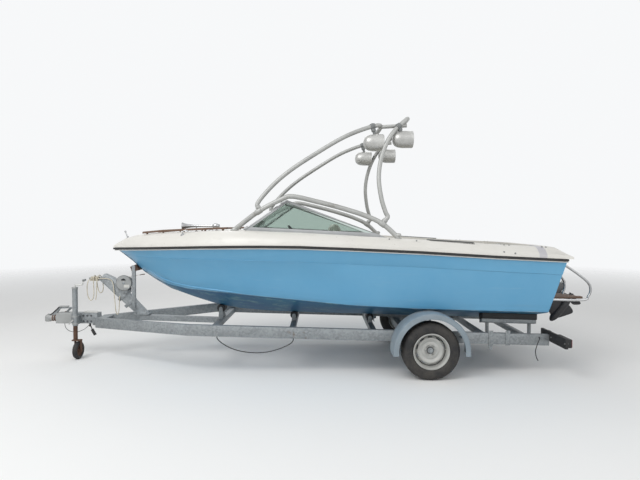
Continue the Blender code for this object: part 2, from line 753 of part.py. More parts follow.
def seats():
    """Back-to-back seats: two cushions and a shared back in one upholstered shape."""
    low = SEAT_TOP + GAP
    outline = [(SEAT_AFT, low), (SEAT_AFT, 1.135), (SEAT_AFT + 0.035, 1.165), (0.840, 1.155), (0.885, 1.540),
               (0.915, 1.580), (0.975, 1.580), (1.005, 1.540), (1.050, 1.155), (SEAT_FORE - 0.035, 1.175),
               (SEAT_FORE, 1.140), (SEAT_FORE, low)]
    both_sides("seat", prism(outline, SEAT_Y[0], SEAT_Y[1]), "vinyl")


def steering_wheel():
    """Helm wheel with three spokes on a short column from the dash."""
    rim = turned([(0.175 + 0.013 * math.cos(a), 0.013 * math.sin(a)) for a in
                  [i * math.pi / 3 for i in range(6)]], 24, HELM, HELM_AXIS, ring=True)
    hub = turned([(0, -0.045), (0.030, -0.045), (0.042, -0.020), (0.040, 0.008), (0, 0.012)], 16,
                 HELM, HELM_AXIS)
    side = Vector((0, 1, 0))
    up = HELM_AXIS.cross(side).normalized()
    spokes = []
    for angle in (math.radians(90), math.radians(210), math.radians(330)):
        out = side * math.cos(angle) + up * math.sin(angle)
        spokes.append(bar(HELM - HELM_AXIS * 0.018, HELM + out * 0.172, HELM_AXIS, 0.026, 0.008))
    column = rod(HELM - HELM_AXIS * 0.030, HELM - HELM_AXIS * COLUMN_REACH, COLUMN, 16)
    place("steering_wheel", union(rim, hub, column, *spokes), "black_rubber", HELM)


# Swim platforms


PLATFORM_LOOP = [
    # x, z of the tube from the upper transom foot, round the aft end and back along the bottom
    (-1.300, 1.195), (-1.474, 1.122), (-1.690, 0.968), (-1.742, 0.881), (-1.722, 0.800),
    (-1.650, 0.757), (-1.200, 0.768),
]


def swim_platforms():
    """Tube-framed boarding platforms with slats, either side of the drive."""
    outer_y, inner_y, tube_radius = 0.620, 0.300, 0.0125
    root_x, inner_share = -1.250, 0.78
    shapes = []
    for y, share in ((outer_y, 1.0), (inner_y, inner_share)):
        route = [(root_x + (x - root_x) * share, y, z) for x, z in PLATFORM_LOOP]
        shapes.append(tube(smooth_route(route, 3), tube_radius, 2))
    for x, reach in ((-1.330, 0.004), (-1.540, 0.004)):
        shapes.append(rod((x, inner_y - reach, 0.762), (x, outer_y + reach, 0.762), 0.012, 8))
    count = 4
    width = 0.058
    pitch = (outer_y - inner_y - 0.060 - width) / (count - 1)
    for i in range(count):
        y = inner_y + 0.030 + i * pitch
        aft = -1.570 - 0.110 * i / (count - 1)
        shapes.append(box((aft, -1.290), (y, y + width), (0.768, 0.790)))
    frame = union(*shapes)
    behind = prism([(transom_x(0.3) - GAP, 0.3), (transom_x(1.5) - GAP, 1.5), (0.5, 1.5), (0.5, 0.3)], -2, 2)
    both_sides("swim_platform", cut(frame, behind), "stainless")


# Stern drive


def drive_point(down, back, y=0.0):
    """A point on the tilted leg: down along the leg and back along the propeller shaft."""
    c, s = math.cos(DRIVE_TILT), math.sin(DRIVE_TILT)
    x, _, z = DRIVE_PIVOT
    return Vector((x - s * down - c * back, y, z - c * down + s * back))


def drive_plate(outline, half):
    """A slab of the leg from (down, back) pairs, as thick as twice the half."""
    return loft([[drive_point(down, back, y) for down, back in outline] for y in (-half, half)])


def drive_mount():
    """Transom plate with the two lugs that carry the steering pin."""
    def plate_x(z, thickness):
        return transom_x(z) - thickness
    low, high = 0.610, 0.985
    plate = prism([(plate_x(low, GAP), low), (plate_x(low, 0.028), low), (plate_x(high, 0.028), high),
                   (plate_x(high, GAP), high)], -0.135, 0.135)
    lugs = []
    for z in LUG_Z:
        root_x = plate_x(z, 0.020)
        plan = [(root_x, -0.030), (root_x, 0.030), (STEER_X + 0.010, 0.0165), (STEER_X - 0.009, 0.0145),
                (STEER_X - 0.017, 0.0), (STEER_X - 0.009, -0.0145), (STEER_X + 0.010, -0.0165)]
        lugs.append(prism(plan, z, z + LUG_HEIGHT, "Z"))
    place("drive_mount", union(plate, *lugs), "drive_black")


def drive_gimbal():
    """Ring between the lugs, with two arms back to the tilt axis."""
    px, _, pz = DRIVE_PIVOT
    arm_in = DRIVE_HALF + 0.005
    arm_out = arm_in + 0.013
    low = LUG_Z[0] + LUG_HEIGHT + RUNNING_GAP
    high = LUG_Z[1] - RUNNING_GAP
    fore, aft = STEER_X + 0.014, STEER_X - 0.014
    ring = cut(box((aft, fore), (-arm_out, arm_out), (low, high)),
               box((aft - 0.1, fore + 0.1), (-arm_in, arm_in), (low + 0.020, high - 0.020)))
    shapes = [ring]
    for side in (1, -1):
        y = sorted((side * arm_in, side * arm_out))
        shapes.append(prism([(fore - 0.004, pz - 0.060), (fore - 0.004, pz + 0.060), (px - 0.016, pz + 0.024),
                             (px - 0.024, pz), (px - 0.016, pz - 0.024)], *y))
        pin = [(px, side * y, pz) for y in (arm_out - 0.004, DRIVE_HALF - 0.018)]
        shapes.append(rod(*pin, TILT_PIN, 16))
    place("drive_gimbal", union(*shapes), "drive_black", (STEER_X, 0, pz))


def drive_leg():
    """Upper housing, leg, anti-ventilation plate with its tab, gearcase and skeg."""
    housing = drive_plate([(-0.040, -0.022), (-0.085, 0.020), (-0.075, 0.110), (0.050, 0.150), (0.200, 0.125),
                           (0.215, -0.050), (0.185, -0.060), (0.160, -0.024), (0.040, -0.022)], DRIVE_HALF)
    stations = [
        # down, front, rear, half width
        (0.195, 0.062, 0.125, 0.045), (0.260, 0.080, 0.120, 0.034), (SHAFT_DOWN, 0.115, 0.110, 0.022),
    ]
    leg = loft([[drive_point(down, back, y) for back, y in
                 ((-front, 0), (-front * 0.3, half), (rear * 0.6, half), (rear, 0), (rear * 0.6, -half),
                  (-front * 0.3, -half))] for down, front, rear, half in stations])
    plate_side = [(-0.100, 0.030), (-0.010, 0.100), (0.200, 0.115), (0.262, 0.080), (0.272, 0.0)]
    plate_edge = plate_side + [(back, -y) for back, y in reversed(plate_side[:-1])]
    plate = loft([[drive_point(down, back, y) for back, y in plate_edge] for down in (0.212, 0.223)])
    shaft = drive_shaft()
    gearcase = turned([(0, -0.165), (0.022, -0.152), (0.041, -0.108), (0.049, -0.040), (0.050, 0.060),
                       (0.044, 0.120), (0.036, 0.148), (0, 0.148)], 14, drive_point(SHAFT_DOWN, 0), shaft)
    skeg = drive_plate([(0.430, -0.115), (0.430, 0.120), (0.475, 0.116), (0.535, 0.092), (0.541, 0.070)],
                       0.006)
    tab = drive_plate([(0.218, 0.190), (0.218, 0.250), (0.200, 0.262), (0.196, 0.300), (0.232, 0.310),
                       (0.262, 0.272), (0.250, 0.215)], 0.009)
    px, _, pz = DRIVE_PIVOT
    sockets = [rod((px, side * (DRIVE_HALF + 0.02), pz), (px, side * (DRIVE_HALF - 0.020), pz),
                   TILT_PIN + RUNNING_GAP, 16) for side in (1, -1)]
    whole = union(housing, leg, plate, gearcase, skeg, tab)
    place("drive_leg", cut(whole, *sockets), "drive_black", DRIVE_PIVOT)


def drive_shaft():
    """Direction of the propeller shaft, backwards."""
    return (drive_point(0, 1) - drive_point(0, 0)).normalized()


BLADES = 3
BLADE_SECTIONS = [
    # distance out, chord, pitch in degrees
    (0.028, 0.060, 55), (0.070, 0.095, 42), (0.115, 0.110, 32), (0.148, 0.060, 26),
]


def propeller():
    """Three twisted blades on a tapered hub."""
    shaft = drive_shaft()
    start = drive_point(SHAFT_DOWN, 0.1485)
    hub = turned([(0, 0), (0.036, 0), (0.038, 0.050), (0.034, 0.090), (0, 0.094)], 16, start, shaft)
    lateral = Vector((0, 1, 0))
    radial = shaft.cross(lateral)
    blades = []
    for i in range(BLADES):
        angle = 2 * math.pi * i / BLADES + math.radians(90)
        out = lateral * math.cos(angle) + radial * math.sin(angle)
        around = shaft.cross(out)
        sections = []
        for reach, chord, pitch in BLADE_SECTIONS:
            twist = math.radians(pitch)
            along = around * math.cos(twist) + shaft * math.sin(twist)
            thin = shaft * math.cos(twist) - around * math.sin(twist)
            middle = start + shaft * 0.045 + out * reach
            thickness = 0.010 * (1 - reach / 0.2)
            sections.append([middle + along * chord / 2, middle + thin * thickness / 2,
                             middle - along * chord / 2, middle - thin * thickness / 2])
        blades.append(loft(sections))
    place("propeller", union(hub, *blades), "drive_black", start)


# Trailer frame


def rail_top(x):
    return RAIL_TOP + BOW_RISE * x


def side_rails():
    """Each rail and its drawbar arm, mitred at the knee."""
    inner = RAIL_OUTER_Y - RAIL_WIDTH
    nose_y = NOSE_HALF
    arm = Vector((NOSE_BOX_X - KNEE_X, nose_y - inner)).normalized()
    across = Vector((-arm.y, arm.x))
    bisector = (across + Vector((0, 1))).normalized()
    knee_width = bisector * RAIL_WIDTH / bisector.dot(Vector((0, 1)))
    nose_width = across * RAIL_WIDTH
    path = [((RAIL_AFT, inner), (0, RAIL_WIDTH)), ((KNEE_X, inner), knee_width),
            ((NOSE_BOX_X, nose_y), nose_width)]
    sections = []
    for (x, y), (dx, dy) in path:
        top = rail_top(x) - (0.090 if x == NOSE_BOX_X else 0.0) * 0.9
        low = top - RAIL_DEPTH
        sections.append([(x, y, top), (x + dx, y + dy, top), (x + dx, y + dy, low), (x, y, low)])
    both_sides("side_rail", loft(sections), "galvanised")


ROLLERS = [
    # name, x, roller core radius
    ("fore", 2.260, 0.034),
    ("mid", 1.410, ROLLER_CORE),
    ("aft", 0.520, ROLLER_CORE),
]


def roller_axis(x, core):
    """The pin's place: the roller's waist just touches the keel line above it."""
    slope = (keel_z(x + 0.01) - keel_z(x - 0.01)) / 0.02
    normal = Vector((slope, 0, -1)).normalized()
    return Vector((x, 0, keel_z(x))) + normal * (core + GAP)


def keel_rollers():
    for name, x, core in ROLLERS:
        centre = roller_axis(x, core)
        hole = ROLLER_PIN + RUNNING_GAP
        end = core + (ROLLER_HALF - 0.010) * DEADRISE
        profile = [(hole, -ROLLER_HALF), (end - 0.008, -ROLLER_HALF), (end, -ROLLER_HALF + 0.010),
                   (core, 0.0), (end, ROLLER_HALF - 0.010), (end - 0.008, ROLLER_HALF), (hole, ROLLER_HALF)]
        roller = turned(profile, 24, centre, (0, 1, 0), ring=True)
        place("keel_roller_" + name, roller, "black_rubber", centre)


def rail_low(x):
    return rail_top(x) - RAIL_DEPTH


def cross_tube(x, depth):
    """A square cross member between the side rails, level with their lower edge."""
    inner = RAIL_OUTER_Y - RAIL_WIDTH - GAP
    return box((x - 0.030, x + 0.030), (-inner, inner), (rail_low(x), rail_low(x) + depth))


def roller_bracket(x, core):
    """Two ears on a base, with the roller's pin through them."""
    centre = roller_axis(x, core)
    low = rail_low(x) + BEAM_DEPTH - 0.004
    ear = ROLLER_HALF + 0.002
    half, neck, head = 0.028, 0.020, 0.008
    outline = [(centre.x - half, low), (centre.x + half, low), (centre.x + neck, centre.z + 0.006),
               (centre.x + head, centre.z + 0.018), (centre.x - head, centre.z + 0.018),
               (centre.x - neck, centre.z + 0.006)]
    shapes = [prism(outline, *sorted((side * ear, side * (ear + 0.006)))) for side in (1, -1)]
    base_y = ear + 0.006
    shapes.append(box((centre.x - half, centre.x + half), (-base_y, base_y), (low - 0.006, low + 0.008)))
    shapes.append(rod((centre.x, -ear - 0.010, centre.z), (centre.x, ear + 0.010, centre.z), ROLLER_PIN))
    return shapes


def cross_members():
    """Three cross members with their keel roller brackets; the front one also holds the keel beam."""
    for name, x, core in ROLLERS:
        shapes = [cross_tube(x, BEAM_DEPTH)] + roller_bracket(x, core)
        if name == "fore":
            aft = x - 0.020
            low = rail_low(x) + 0.001
            beam = [(aft, low), (BEAM_FORE, BEAM_FORE_Z), (BEAM_FORE, BEAM_FORE_Z + BEAM_DEPTH),
                    (aft, low + BEAM_DEPTH - 0.002)]
            shapes.append(prism(beam, -0.040, 0.040))
        place("cross_member_" + name, union(*shapes), "galvanised")


BEAM_FORE = 3.230
BEAM_FORE_Z = 0.430
BUNK_POSTS = (-0.680, -1.130)
BUNK_X = (-1.190, -0.610)
BUNK_Y = 0.550
BUNK_HALF = 0.062


def bunk_top(x, y):
    return bottom_z(x, y)


def bunk_block(side, low, high, half):
    """A block that follows the bottom, between two depths below it."""
    sections = []
    for x in BUNK_X:
        ring = []
        for way, depth in ((-1, low), (1, low), (1, high), (-1, high)):
            y = BUNK_Y + way * half
            ring.append((x, side * y, bunk_top(x, y) + depth))
        sections.append(ring)
    return loft(sections)


def bunks():
    """Padded bunks under the bottom, on channels, posts and two cross members."""
    both_sides("bunk_pad", bunk_block(1, -0.062 + GAP, -GAP, BUNK_HALF), "black_rubber")
    shapes = [cross_tube(x, 0.050) for x in BUNK_POSTS]
    for side in (1, -1):
        for x in BUNK_POSTS:
            low = rail_low(x) + 0.010
            high = bunk_top(x, BUNK_Y) - 0.080
            shapes.append(rod((x, side * BUNK_Y, low), (x, side * BUNK_Y, high), 0.018))
        shapes.append(bunk_block(side, -0.100, -0.062, 0.040))
    place("bunk_frame", union(*shapes), "galvanised")


def axle():
    """Torsion axle under the rails, its trailing arms and the hubs' stub shafts."""
    half = AXLE_TUBE / 2
    axle_z = rail_top(AXLE_X) - RAIL_DEPTH - half - 0.010
    arm_y = RAIL_OUTER_Y + 0.004
    shapes = [box((AXLE_X - half, AXLE_X + half), (-arm_y, arm_y), (axle_z - half, axle_z + half))]
    for side in (1, -1):
        y = sorted((side * (arm_y - 0.012), side * (arm_y + 0.018)))
        arm = [(AXLE_X + 0.045, axle_z - 0.032), (AXLE_X + 0.045, axle_z + 0.032),
               (-0.020, TYRE_RADIUS + 0.035), (-0.038, TYRE_RADIUS), (-0.020, TYRE_RADIUS - 0.035)]
        shapes.append(prism(arm, *y))
        reach = WHEEL_OUTER_Y - 0.030 - arm_y
        drum = [(0, 0.002), (DRUM_BRAKE, 0.002), (DRUM_BRAKE, 0.038), (STUB, 0.038), (STUB, reach), (0, reach)]
        shapes.append(turned(drum, 20, (0, side * arm_y, TYRE_RADIUS), (0, side, 0)))
        pad = sorted((side * (RAIL_OUTER_Y - RAIL_WIDTH), side * RAIL_OUTER_Y))
        ends = (AXLE_X - 0.09, AXLE_X + 0.09)
        seat = [(x, rail_low(x) - GAP) for x in ends] + [(x, axle_z + half - 0.004) for x in reversed(ends)]
        shapes.append(prism(seat, *pad))
    place("axle", union(*shapes), "galvanised")


RIM_PROFILE = [
    # radius, distance outward of the wheel's middle: disc, well and flange, barrel, inner flange, back
    (0.0175, 0.008), (0.048, 0.008), (0.060, 0.030), (0.086, 0.022), (0.110, 0.036), (0.132, 0.030),
    (0.150, 0.006), (0.157, 0.010), (0.160, 0.056), (0.165, 0.066), (0.176, 0.078), (0.182, 0.077),
    (0.1800, 0.0725), (0.1686, 0.0596), (0.1686, -0.0596), (0.1800, -0.0725), (0.182, -0.077),
    (0.176, -0.078), (0.162, -0.062), (0.162, -0.012), (0.146, -0.004), (0.128, 0.020), (0.084, 0.012),
    (0.058, 0.018), (0.046, -0.006), (0.0175, -0.006),
]
TYRE_PROFILE = [
    # radius, distance from the tyre's middle plane, outer half only
    (0.1690, 0.0590), (0.1800, 0.0715), (0.190, 0.0790), (0.215, 0.0900), (0.240, 0.0925), (0.268, 0.0840),
    (0.2860, 0.0600), (0.2900, 0.0300),
]
STUDS = 5
STUD_CIRCLE = 0.056
VENTS = 10
VENT_CIRCLE = 0.139


def wheels():
    """Steel rims with studs and vent slots, and their tyres."""
    mid = WHEEL_OUTER_Y - TYRE_WIDTH / 2
    centre = Vector((0, mid, TYRE_RADIUS))
    rim = turned(RIM_PROFILE, WHEEL_STEPS, centre, (0, 1, 0), ring=True)
    studs = []
    for i in range(STUDS):
        angle = 2 * math.pi * i / STUDS + math.radians(90)
        at = centre + Vector((math.cos(angle), 0, math.sin(angle))) * STUD_CIRCLE
        studs.append(rod(at + Vector((0, 0.010, 0)), at + Vector((0, 0.042, 0)), 0.009, 6))
    slots = []
    for i in range(VENTS):
        angle = 2 * math.pi * i / VENTS
        out = Vector((math.cos(angle), 0, math.sin(angle)))
        at = centre + out * VENT_CIRCLE
        slots.append(bar(at - Vector((0, 0.03, 0)), at + Vector((0, 0.05, 0)), out, 0.030, 0.010))
    tyre_profile = TYRE_PROFILE + [(radius, -y) for radius, y in reversed(TYRE_PROFILE)]
    tyre = turned(tyre_profile, WHEEL_STEPS, centre, (0, 1, 0), ring=True)
    both_sides("rim", cut(union(rim, *studs), *slots), "wheel_silver", centre)
    both_sides("tyre", tyre, "tyre_rubber", centre)


def fenders():
    """Round sheet mudguards with rolled lips, on brackets from the rails."""
    inner_y = FENDER_INNER_Y
    outer_y = WHEEL_OUTER_Y + 0.030
    start, end, steps = math.radians(-6), math.radians(186), 20
    sections = []
    for i in range(steps + 1):
        angle = end + (start - end) * i / steps
        out = Vector((math.cos(angle), 0, math.sin(angle)))
        centre = Vector((0, 0, TYRE_RADIUS))
        ring = []
        for y, r in ((inner_y, FENDER_RADIUS), (outer_y - 0.012, FENDER_RADIUS),
                     (outer_y, FENDER_RADIUS - 0.012),
                     (outer_y, FENDER_RADIUS - 0.055), (outer_y - FENDER_SHEET, FENDER_RADIUS - 0.055),
                     (outer_y - FENDER_SHEET, FENDER_RADIUS - 0.015),
                     (outer_y - 0.015, FENDER_RADIUS - FENDER_SHEET),
                     (inner_y, FENDER_RADIUS - FENDER_SHEET)):
            ring.append(centre + out * r + Vector((0, y, 0)))
        sections.append(ring)
    reach = FENDER_RADIUS - FENDER_SHEET / 2
    brackets = []
    for side in (1, -1):
        x = sorted((side * (reach - 0.052), side * (reach - 0.014)))
        brackets.append(box(x, (RAIL_OUTER_Y + GAP, FENDER_INNER_Y + 0.040), (0.392, 0.400)))
    both_sides("fender", union(loft(sections), *brackets), "fender_grey")


# Trailer nose


def coupling():
    """Overrun housing, draw shaft under its gaiter, ball head with lever."""
    top = 0.513
    housing = box((3.720, 4.205), (-0.058, 0.058), (0.395, top))
    slope = (RAIL_OUTER_Y - RAIL_WIDTH - NOSE_HALF) / (NOSE_BOX_X - KNEE_X)
    clear = GAP * math.hypot(1, slope)
    plan = [(NOSE_BOX_X - 0.100, NOSE_HALF + 0.100 * slope - clear), (NOSE_BOX_X, NOSE_HALF - clear),
            (3.780, 0.050)]
    socket = prism(plan + [(x, -y) for x, y in reversed(plan)], 0.372, 0.466, "Z")
    shaft_z = 0.452
    gaiter = [(0, 0), (0.040, 0), (0.030, 0.018), (0.038, 0.030), (0.028, 0.045), (0.036, 0.058),
              (0.027, 0.072), (0.032, 0.084), (0.038, 0.100), (0.041, 0.125), (0.037, 0.145),
              (0.020, 0.158), (0, 0.160)]
    nose = turned(gaiter, 14, (4.195, 0, shaft_z), (1, 0, 0))
    cup_profile = [(0, -0.040), (0.036, -0.040), (0.040, 0.0), (0.030, 0.030), (0, 0.036)]
    cup = turned(cup_profile, 14, (NOSE_REACH - 0.040, 0, shaft_z), (0, 0, 1))
    lever = prism([(4.235, 0.480), (4.300, 0.470), (4.285, 0.492), (4.185, 0.573), (4.060, 0.577),
                   (4.060, 0.566), (4.180, 0.560)], -0.014, 0.014)
    brake = prism([(4.150, 0.505), (4.120, 0.505), (4.060, 0.560), (4.075, 0.574)], -0.045, -0.030)
    place("coupling", union(housing, nose, cup, lever, socket, brake), "galvanised")


def jockey():
    """Clamped outer tube with its crank, sliding stem, swivelling fork and wheel."""
    x, y = JOCKEY_X, JOCKEY_Y
    outer = rod((x, y, 0.385), (x, y, 0.825), JOCKEY_TUBE, 20)
    clamp = box((x - 0.035, x + 0.035), (0.058 + GAP, y), (0.400, 0.500))
    bore = rod((x, y, 0.3), (x, y, 0.812), JOCKEY_STEM + RUNNING_GAP, 20)
    crank_route = [(x, y, 0.815), (x, y, 0.857), (x - 0.085, y, 0.857), (x - 0.104, y, 0.915)]
    crank = tube(filleted(crank_route, 0.012), 0.007, 2)
    grip = rod((x - 0.092, y, 0.905), (x - 0.126, y, 0.917), 0.012, 8)
    place("jockey_tube", cut(union(outer, clamp, crank, grip), bore), "galvanised")

    fork_top = 0.222
    stem = rod((x, y, fork_top), (x, y, JOCKEY_STEM_TOP), JOCKEY_STEM, 20)
    place("jockey_stem", stem, "rusty_steel", (x, y, fork_top))

    axis = Vector((1, 0, 0))
    wheel_at = Vector((x - 0.030, y, JOCKEY_WHEEL_RADIUS))
    half = JOCKEY_WHEEL_WIDTH / 2
    hub = half + 0.003
    fork_aft = wheel_at.x - hub - 0.006
    shapes = [box((fork_aft, x + 0.034), (y - 0.026, y + 0.026), (fork_top - 0.014, fork_top - GAP))]
    for low in (fork_aft, wheel_at.x + hub):
        height = (JOCKEY_WHEEL_RADIUS - 0.016, fork_top - 0.002)
        shapes.append(box((low, low + 0.006), (y - 0.022, y + 0.022), height))
    shapes.append(rod(wheel_at - axis * (hub + 0.010), wheel_at + axis * (hub + 0.010), 0.008, 16))
    place("jockey_fork", union(*shapes), "rusty_steel", (x, y, fork_top))

    profile = [(0.0085, -hub + 0.001), (0.026, -hub + 0.001), (0.030, -0.012), (0.064, -0.012),
               (0.072, -half + 0.003), (0.090, -half), (JOCKEY_WHEEL_RADIUS, -0.010),
               (JOCKEY_WHEEL_RADIUS, 0.010), (0.090, half), (0.072, half - 0.003), (0.064, 0.012),
               (0.030, 0.012), (0.026, hub - 0.001), (0.0085, hub - 0.001)]
    place("jockey_wheel", turned(profile, 24, wheel_at, (1, 0, 0), ring=True), "black_rubber", wheel_at)


# Winch

DRUM = Vector((3.400, 0.0, 0.870))
SPOOL = 0.056
ROPE_ARM_HALF = 0.015


def winch():
    """Leaning arm, bow-stop post, winch cheeks with guard disc, drum and strap."""
    arm = prism([(3.700, 0.905), (3.640, 0.975), (3.540, 0.930), (3.190, 0.565), (3.130, 0.495),
                 (3.260, 0.495)], -0.035, 0.035)
    foot = box((3.120, 3.300), (-0.050, 0.050), (0.4905, 0.5080))
    post = box((3.270, 3.310), (0.029, 0.057), (0.560, 1.075))
    cheeks = []
    for y in (-0.062, 0.054):
        cheeks.append(prism([(3.360, 0.745), (3.480, 0.830), (3.440, 0.925), (3.360, 0.925)], y, y + 0.008))
    spreader = box((3.360, 3.420), (-0.060, 0.060), (0.752, 0.780))
    disc = rod((DRUM.x, 0.0620, DRUM.z), (DRUM.x, 0.070, DRUM.z), 0.090, 32)
    shaft = rod((DRUM.x, -0.064, DRUM.z), (DRUM.x, 0.066, DRUM.z), 0.010, 16)
    rope_arm = box((3.600, 3.830), (-ROPE_ARM_HALF, ROPE_ARM_HALF), (0.900, 0.930))
    stop = prism([(3.225, 1.020), (3.310, 1.000), (3.330, 1.060), (3.262, 1.088)], -0.045, 0.052)
    frame = union(arm, foot, post, *cheeks, spreader, disc, shaft, stop, rope_arm)
    place("winch_post", cut(frame, bow_clearance()), "galvanised")

    cheek_radius = SPOOL + 0.010
    spool = turned([(0.0105, -0.050), (cheek_radius, -0.050), (cheek_radius, -0.046), (SPOOL, -0.044),
                    (SPOOL, 0.044), (cheek_radius, 0.046), (cheek_radius, 0.050), (0.0105, 0.050)],
                   24, DRUM, (0, 1, 0), ring=True)
    place("winch_drum", spool, "galvanised", DRUM)


def bow_clearance():
    """The forward hull, moved a hair ahead, for trimming what rests against it."""
    bow = [[(x + 0.004, y, z - 0.002) for x, y, z in half + [(a, -b, c) for a, b, c in reversed(half[1:])]]
           for half in HULL_HALVES[7:]]
    return loft(bow)


def winch_strap():
    """Webbing from the drum's top to a hook and the eye on the stem."""
    eye = Vector((3.178, 0.0, 0.968))
    along = (eye - DRUM - Vector((0.010, 0, SPOOL))).normalized()
    normal = Vector((along.z, 0, -along.x))
    start = DRUM + normal * (SPOOL + GAP + 0.0015) - along * 0.008
    lift = normal * 0.0015
    half = Vector((0, 0.024, 0))
    belt = loft([[p + half + lift, p - half + lift, p - half - lift, p + half - lift] for p in (start, eye)])
    hook = rod(eye + Vector((0.004, -0.028, 0)), eye + Vector((0.004, 0.028, 0)), 0.006, 8)
    shank = rod(eye + Vector((0.006, 0, 0)), eye + Vector((-0.060, 0, 0.0)), 0.008, 8)
    place("winch_strap", cut(union(belt, hook, shank), bow_clearance()), "webbing")


# Lights and cords


def light_bars():
    """Lamp boards on the rails' ends, standing out past the wheels."""
    x = RAIL_AFT - GAP
    top = rail_top(RAIL_AFT) + 0.030
    board = prism([(0.520, top - 0.100), (1.045, top - 0.100), (1.045, top), (0.520, top)], x - 0.028, x, "X")
    lamp = prism([(0.800, top - 0.092), (1.030, top - 0.092), (1.030, top - 0.008), (0.800, top - 0.008)],
                 x - 0.070, x - 0.020, "X")
    plate_lamp = prism([(0.600, top - 0.030), (0.660, top - 0.030), (0.660, top - 0.006),
                        (0.600, top - 0.006)], x - 0.050, x - 0.020, "X")
    both_sides("light_bar", union(board, lamp, plate_lamp), "black_rubber")


HOUSING_LOW = 0.395
CORDS = {
    # name: diameter, finish, points of the route
    "breakaway_cable": (0.006, "cable_black", [
        (4.150, -0.035, HOUSING_LOW - GAP), (4.150, -0.035, 0.365), (4.140, -0.036, 0.325),
        (4.105, -0.037, 0.290), (4.050, -0.038, 0.274), (3.985, -0.038, 0.278), (3.915, -0.037, 0.310),
        (3.868, -0.036, 0.350), (3.855, -0.035, 0.372), (3.852, -0.035, HOUSING_LOW - GAP)]),
    "brake_cable": (0.010, "cable_black", [
        (2.180, 0.695, 0.3921), (2.176, 0.695, 0.365), (2.130, 0.695, 0.320), (2.040, 0.695, 0.268),
        (1.930, 0.695, 0.234), (1.800, 0.695, 0.218), (1.660, 0.695, 0.225), (1.520, 0.695, 0.262),
        (1.420, 0.695, 0.310), (1.389, 0.695, 0.343), (1.385, 0.695, 0.3703)]),
    "light_cable": (0.009, "cable_black", [
        (-1.160, RAIL_OUTER_Y + GAP, 0.385), (-1.159, 0.738, 0.384), (-1.150, 0.752, 0.366),
        (-1.128, 0.757, 0.320), (-1.110, 0.757, 0.250), (-1.120, 0.755, 0.190), (-1.140, 0.752, 0.150)]),
    "rope_tail": (0.010, "rope_cream", [
        (3.7247, 0.044, 0.918), (3.700, 0.0445, 0.919), (3.640, 0.046, 0.924), (3.570, 0.048, 0.912),
        (3.535, 0.050, 0.870), (3.524, 0.050, 0.780), (3.512, 0.050, 0.640), (3.502, 0.052, 0.540),
        (3.485, 0.052, 0.500), (3.468, 0.051, 0.540), (3.462, 0.051, 0.620), (3.458, 0.051, 0.690),
        (3.457, 0.0465, 0.7085), (3.457, 0.035 + GAP, 0.711)]),
}


HANK_OUTLINE = [
    # x, z of the hanging bundle, with round ends
    (3.740, 0.690), (3.762, 0.668), (3.800, 0.662), (3.838, 0.672), (3.852, 0.700), (3.850, 0.915),
    (3.835, 0.940), (3.790, 0.950), (3.745, 0.944), (3.725, 0.930), (3.725, 0.890),
]


def cords():
    """Hanging cables as round tubes, and the rope's hank as one rounded slab."""
    for name, (diameter, finish, points) in CORDS.items():
        curve = bpy.data.curves.new(name, "CURVE")
        curve.dimensions = "3D"
        curve.twist_mode = "MINIMUM"
        curve.bevel_depth = diameter / 2
        curve.bevel_resolution = 2
        curve.use_fill_caps = True
        curve.materials.append(materials[finish])
        spline = curve.splines.new("POLY")
        route = smooth_route(points, 3)
        spline.points.add(len(route) - 1)
        for point, position in zip(spline.points, route):
            point.co = (*position, 1)
        piece = bpy.data.objects.new(name, curve)
        scene.collection.objects.link(piece)
        piece.parent = datum
    hank = prism(HANK_OUTLINE, ROPE_ARM_HALF + GAP, ROPE_ARM_HALF + 0.040)
    place("rope_hank", hank, "rope_cream")
    root = (3.822, 0.020, HOUSING_LOW - GAP)
    plug = union(rod(root, (3.822, 0.020, 0.352), 0.012, 10),
                 rod((3.822, 0.020, 0.372), (3.790, 0.020, 0.300), 0.006, 8),
                 rod((3.800, 0.020, 0.318), (3.762, 0.020, 0.250), 0.017, 12))
    place("trailer_plug", plug, "cable_black")


PIECES = (
    hull, deck, rub_rail, windshield, tower, grab_rails, horn, cockpit_liner, seats,
    steering_wheel, swim_platforms, drive_mount, drive_gimbal, drive_leg, propeller, side_rails, keel_rollers,
    cross_members, bunks, axle, wheels, fenders, coupling, jockey, winch, winch_strap, light_bars, cords,
)
for build_piece in PIECES:
    build_piece()
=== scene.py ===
import json
import math
import bmesh
import bpy
from mathutils import Matrix, Vector
from mathutils.bvhtree import BVHTree

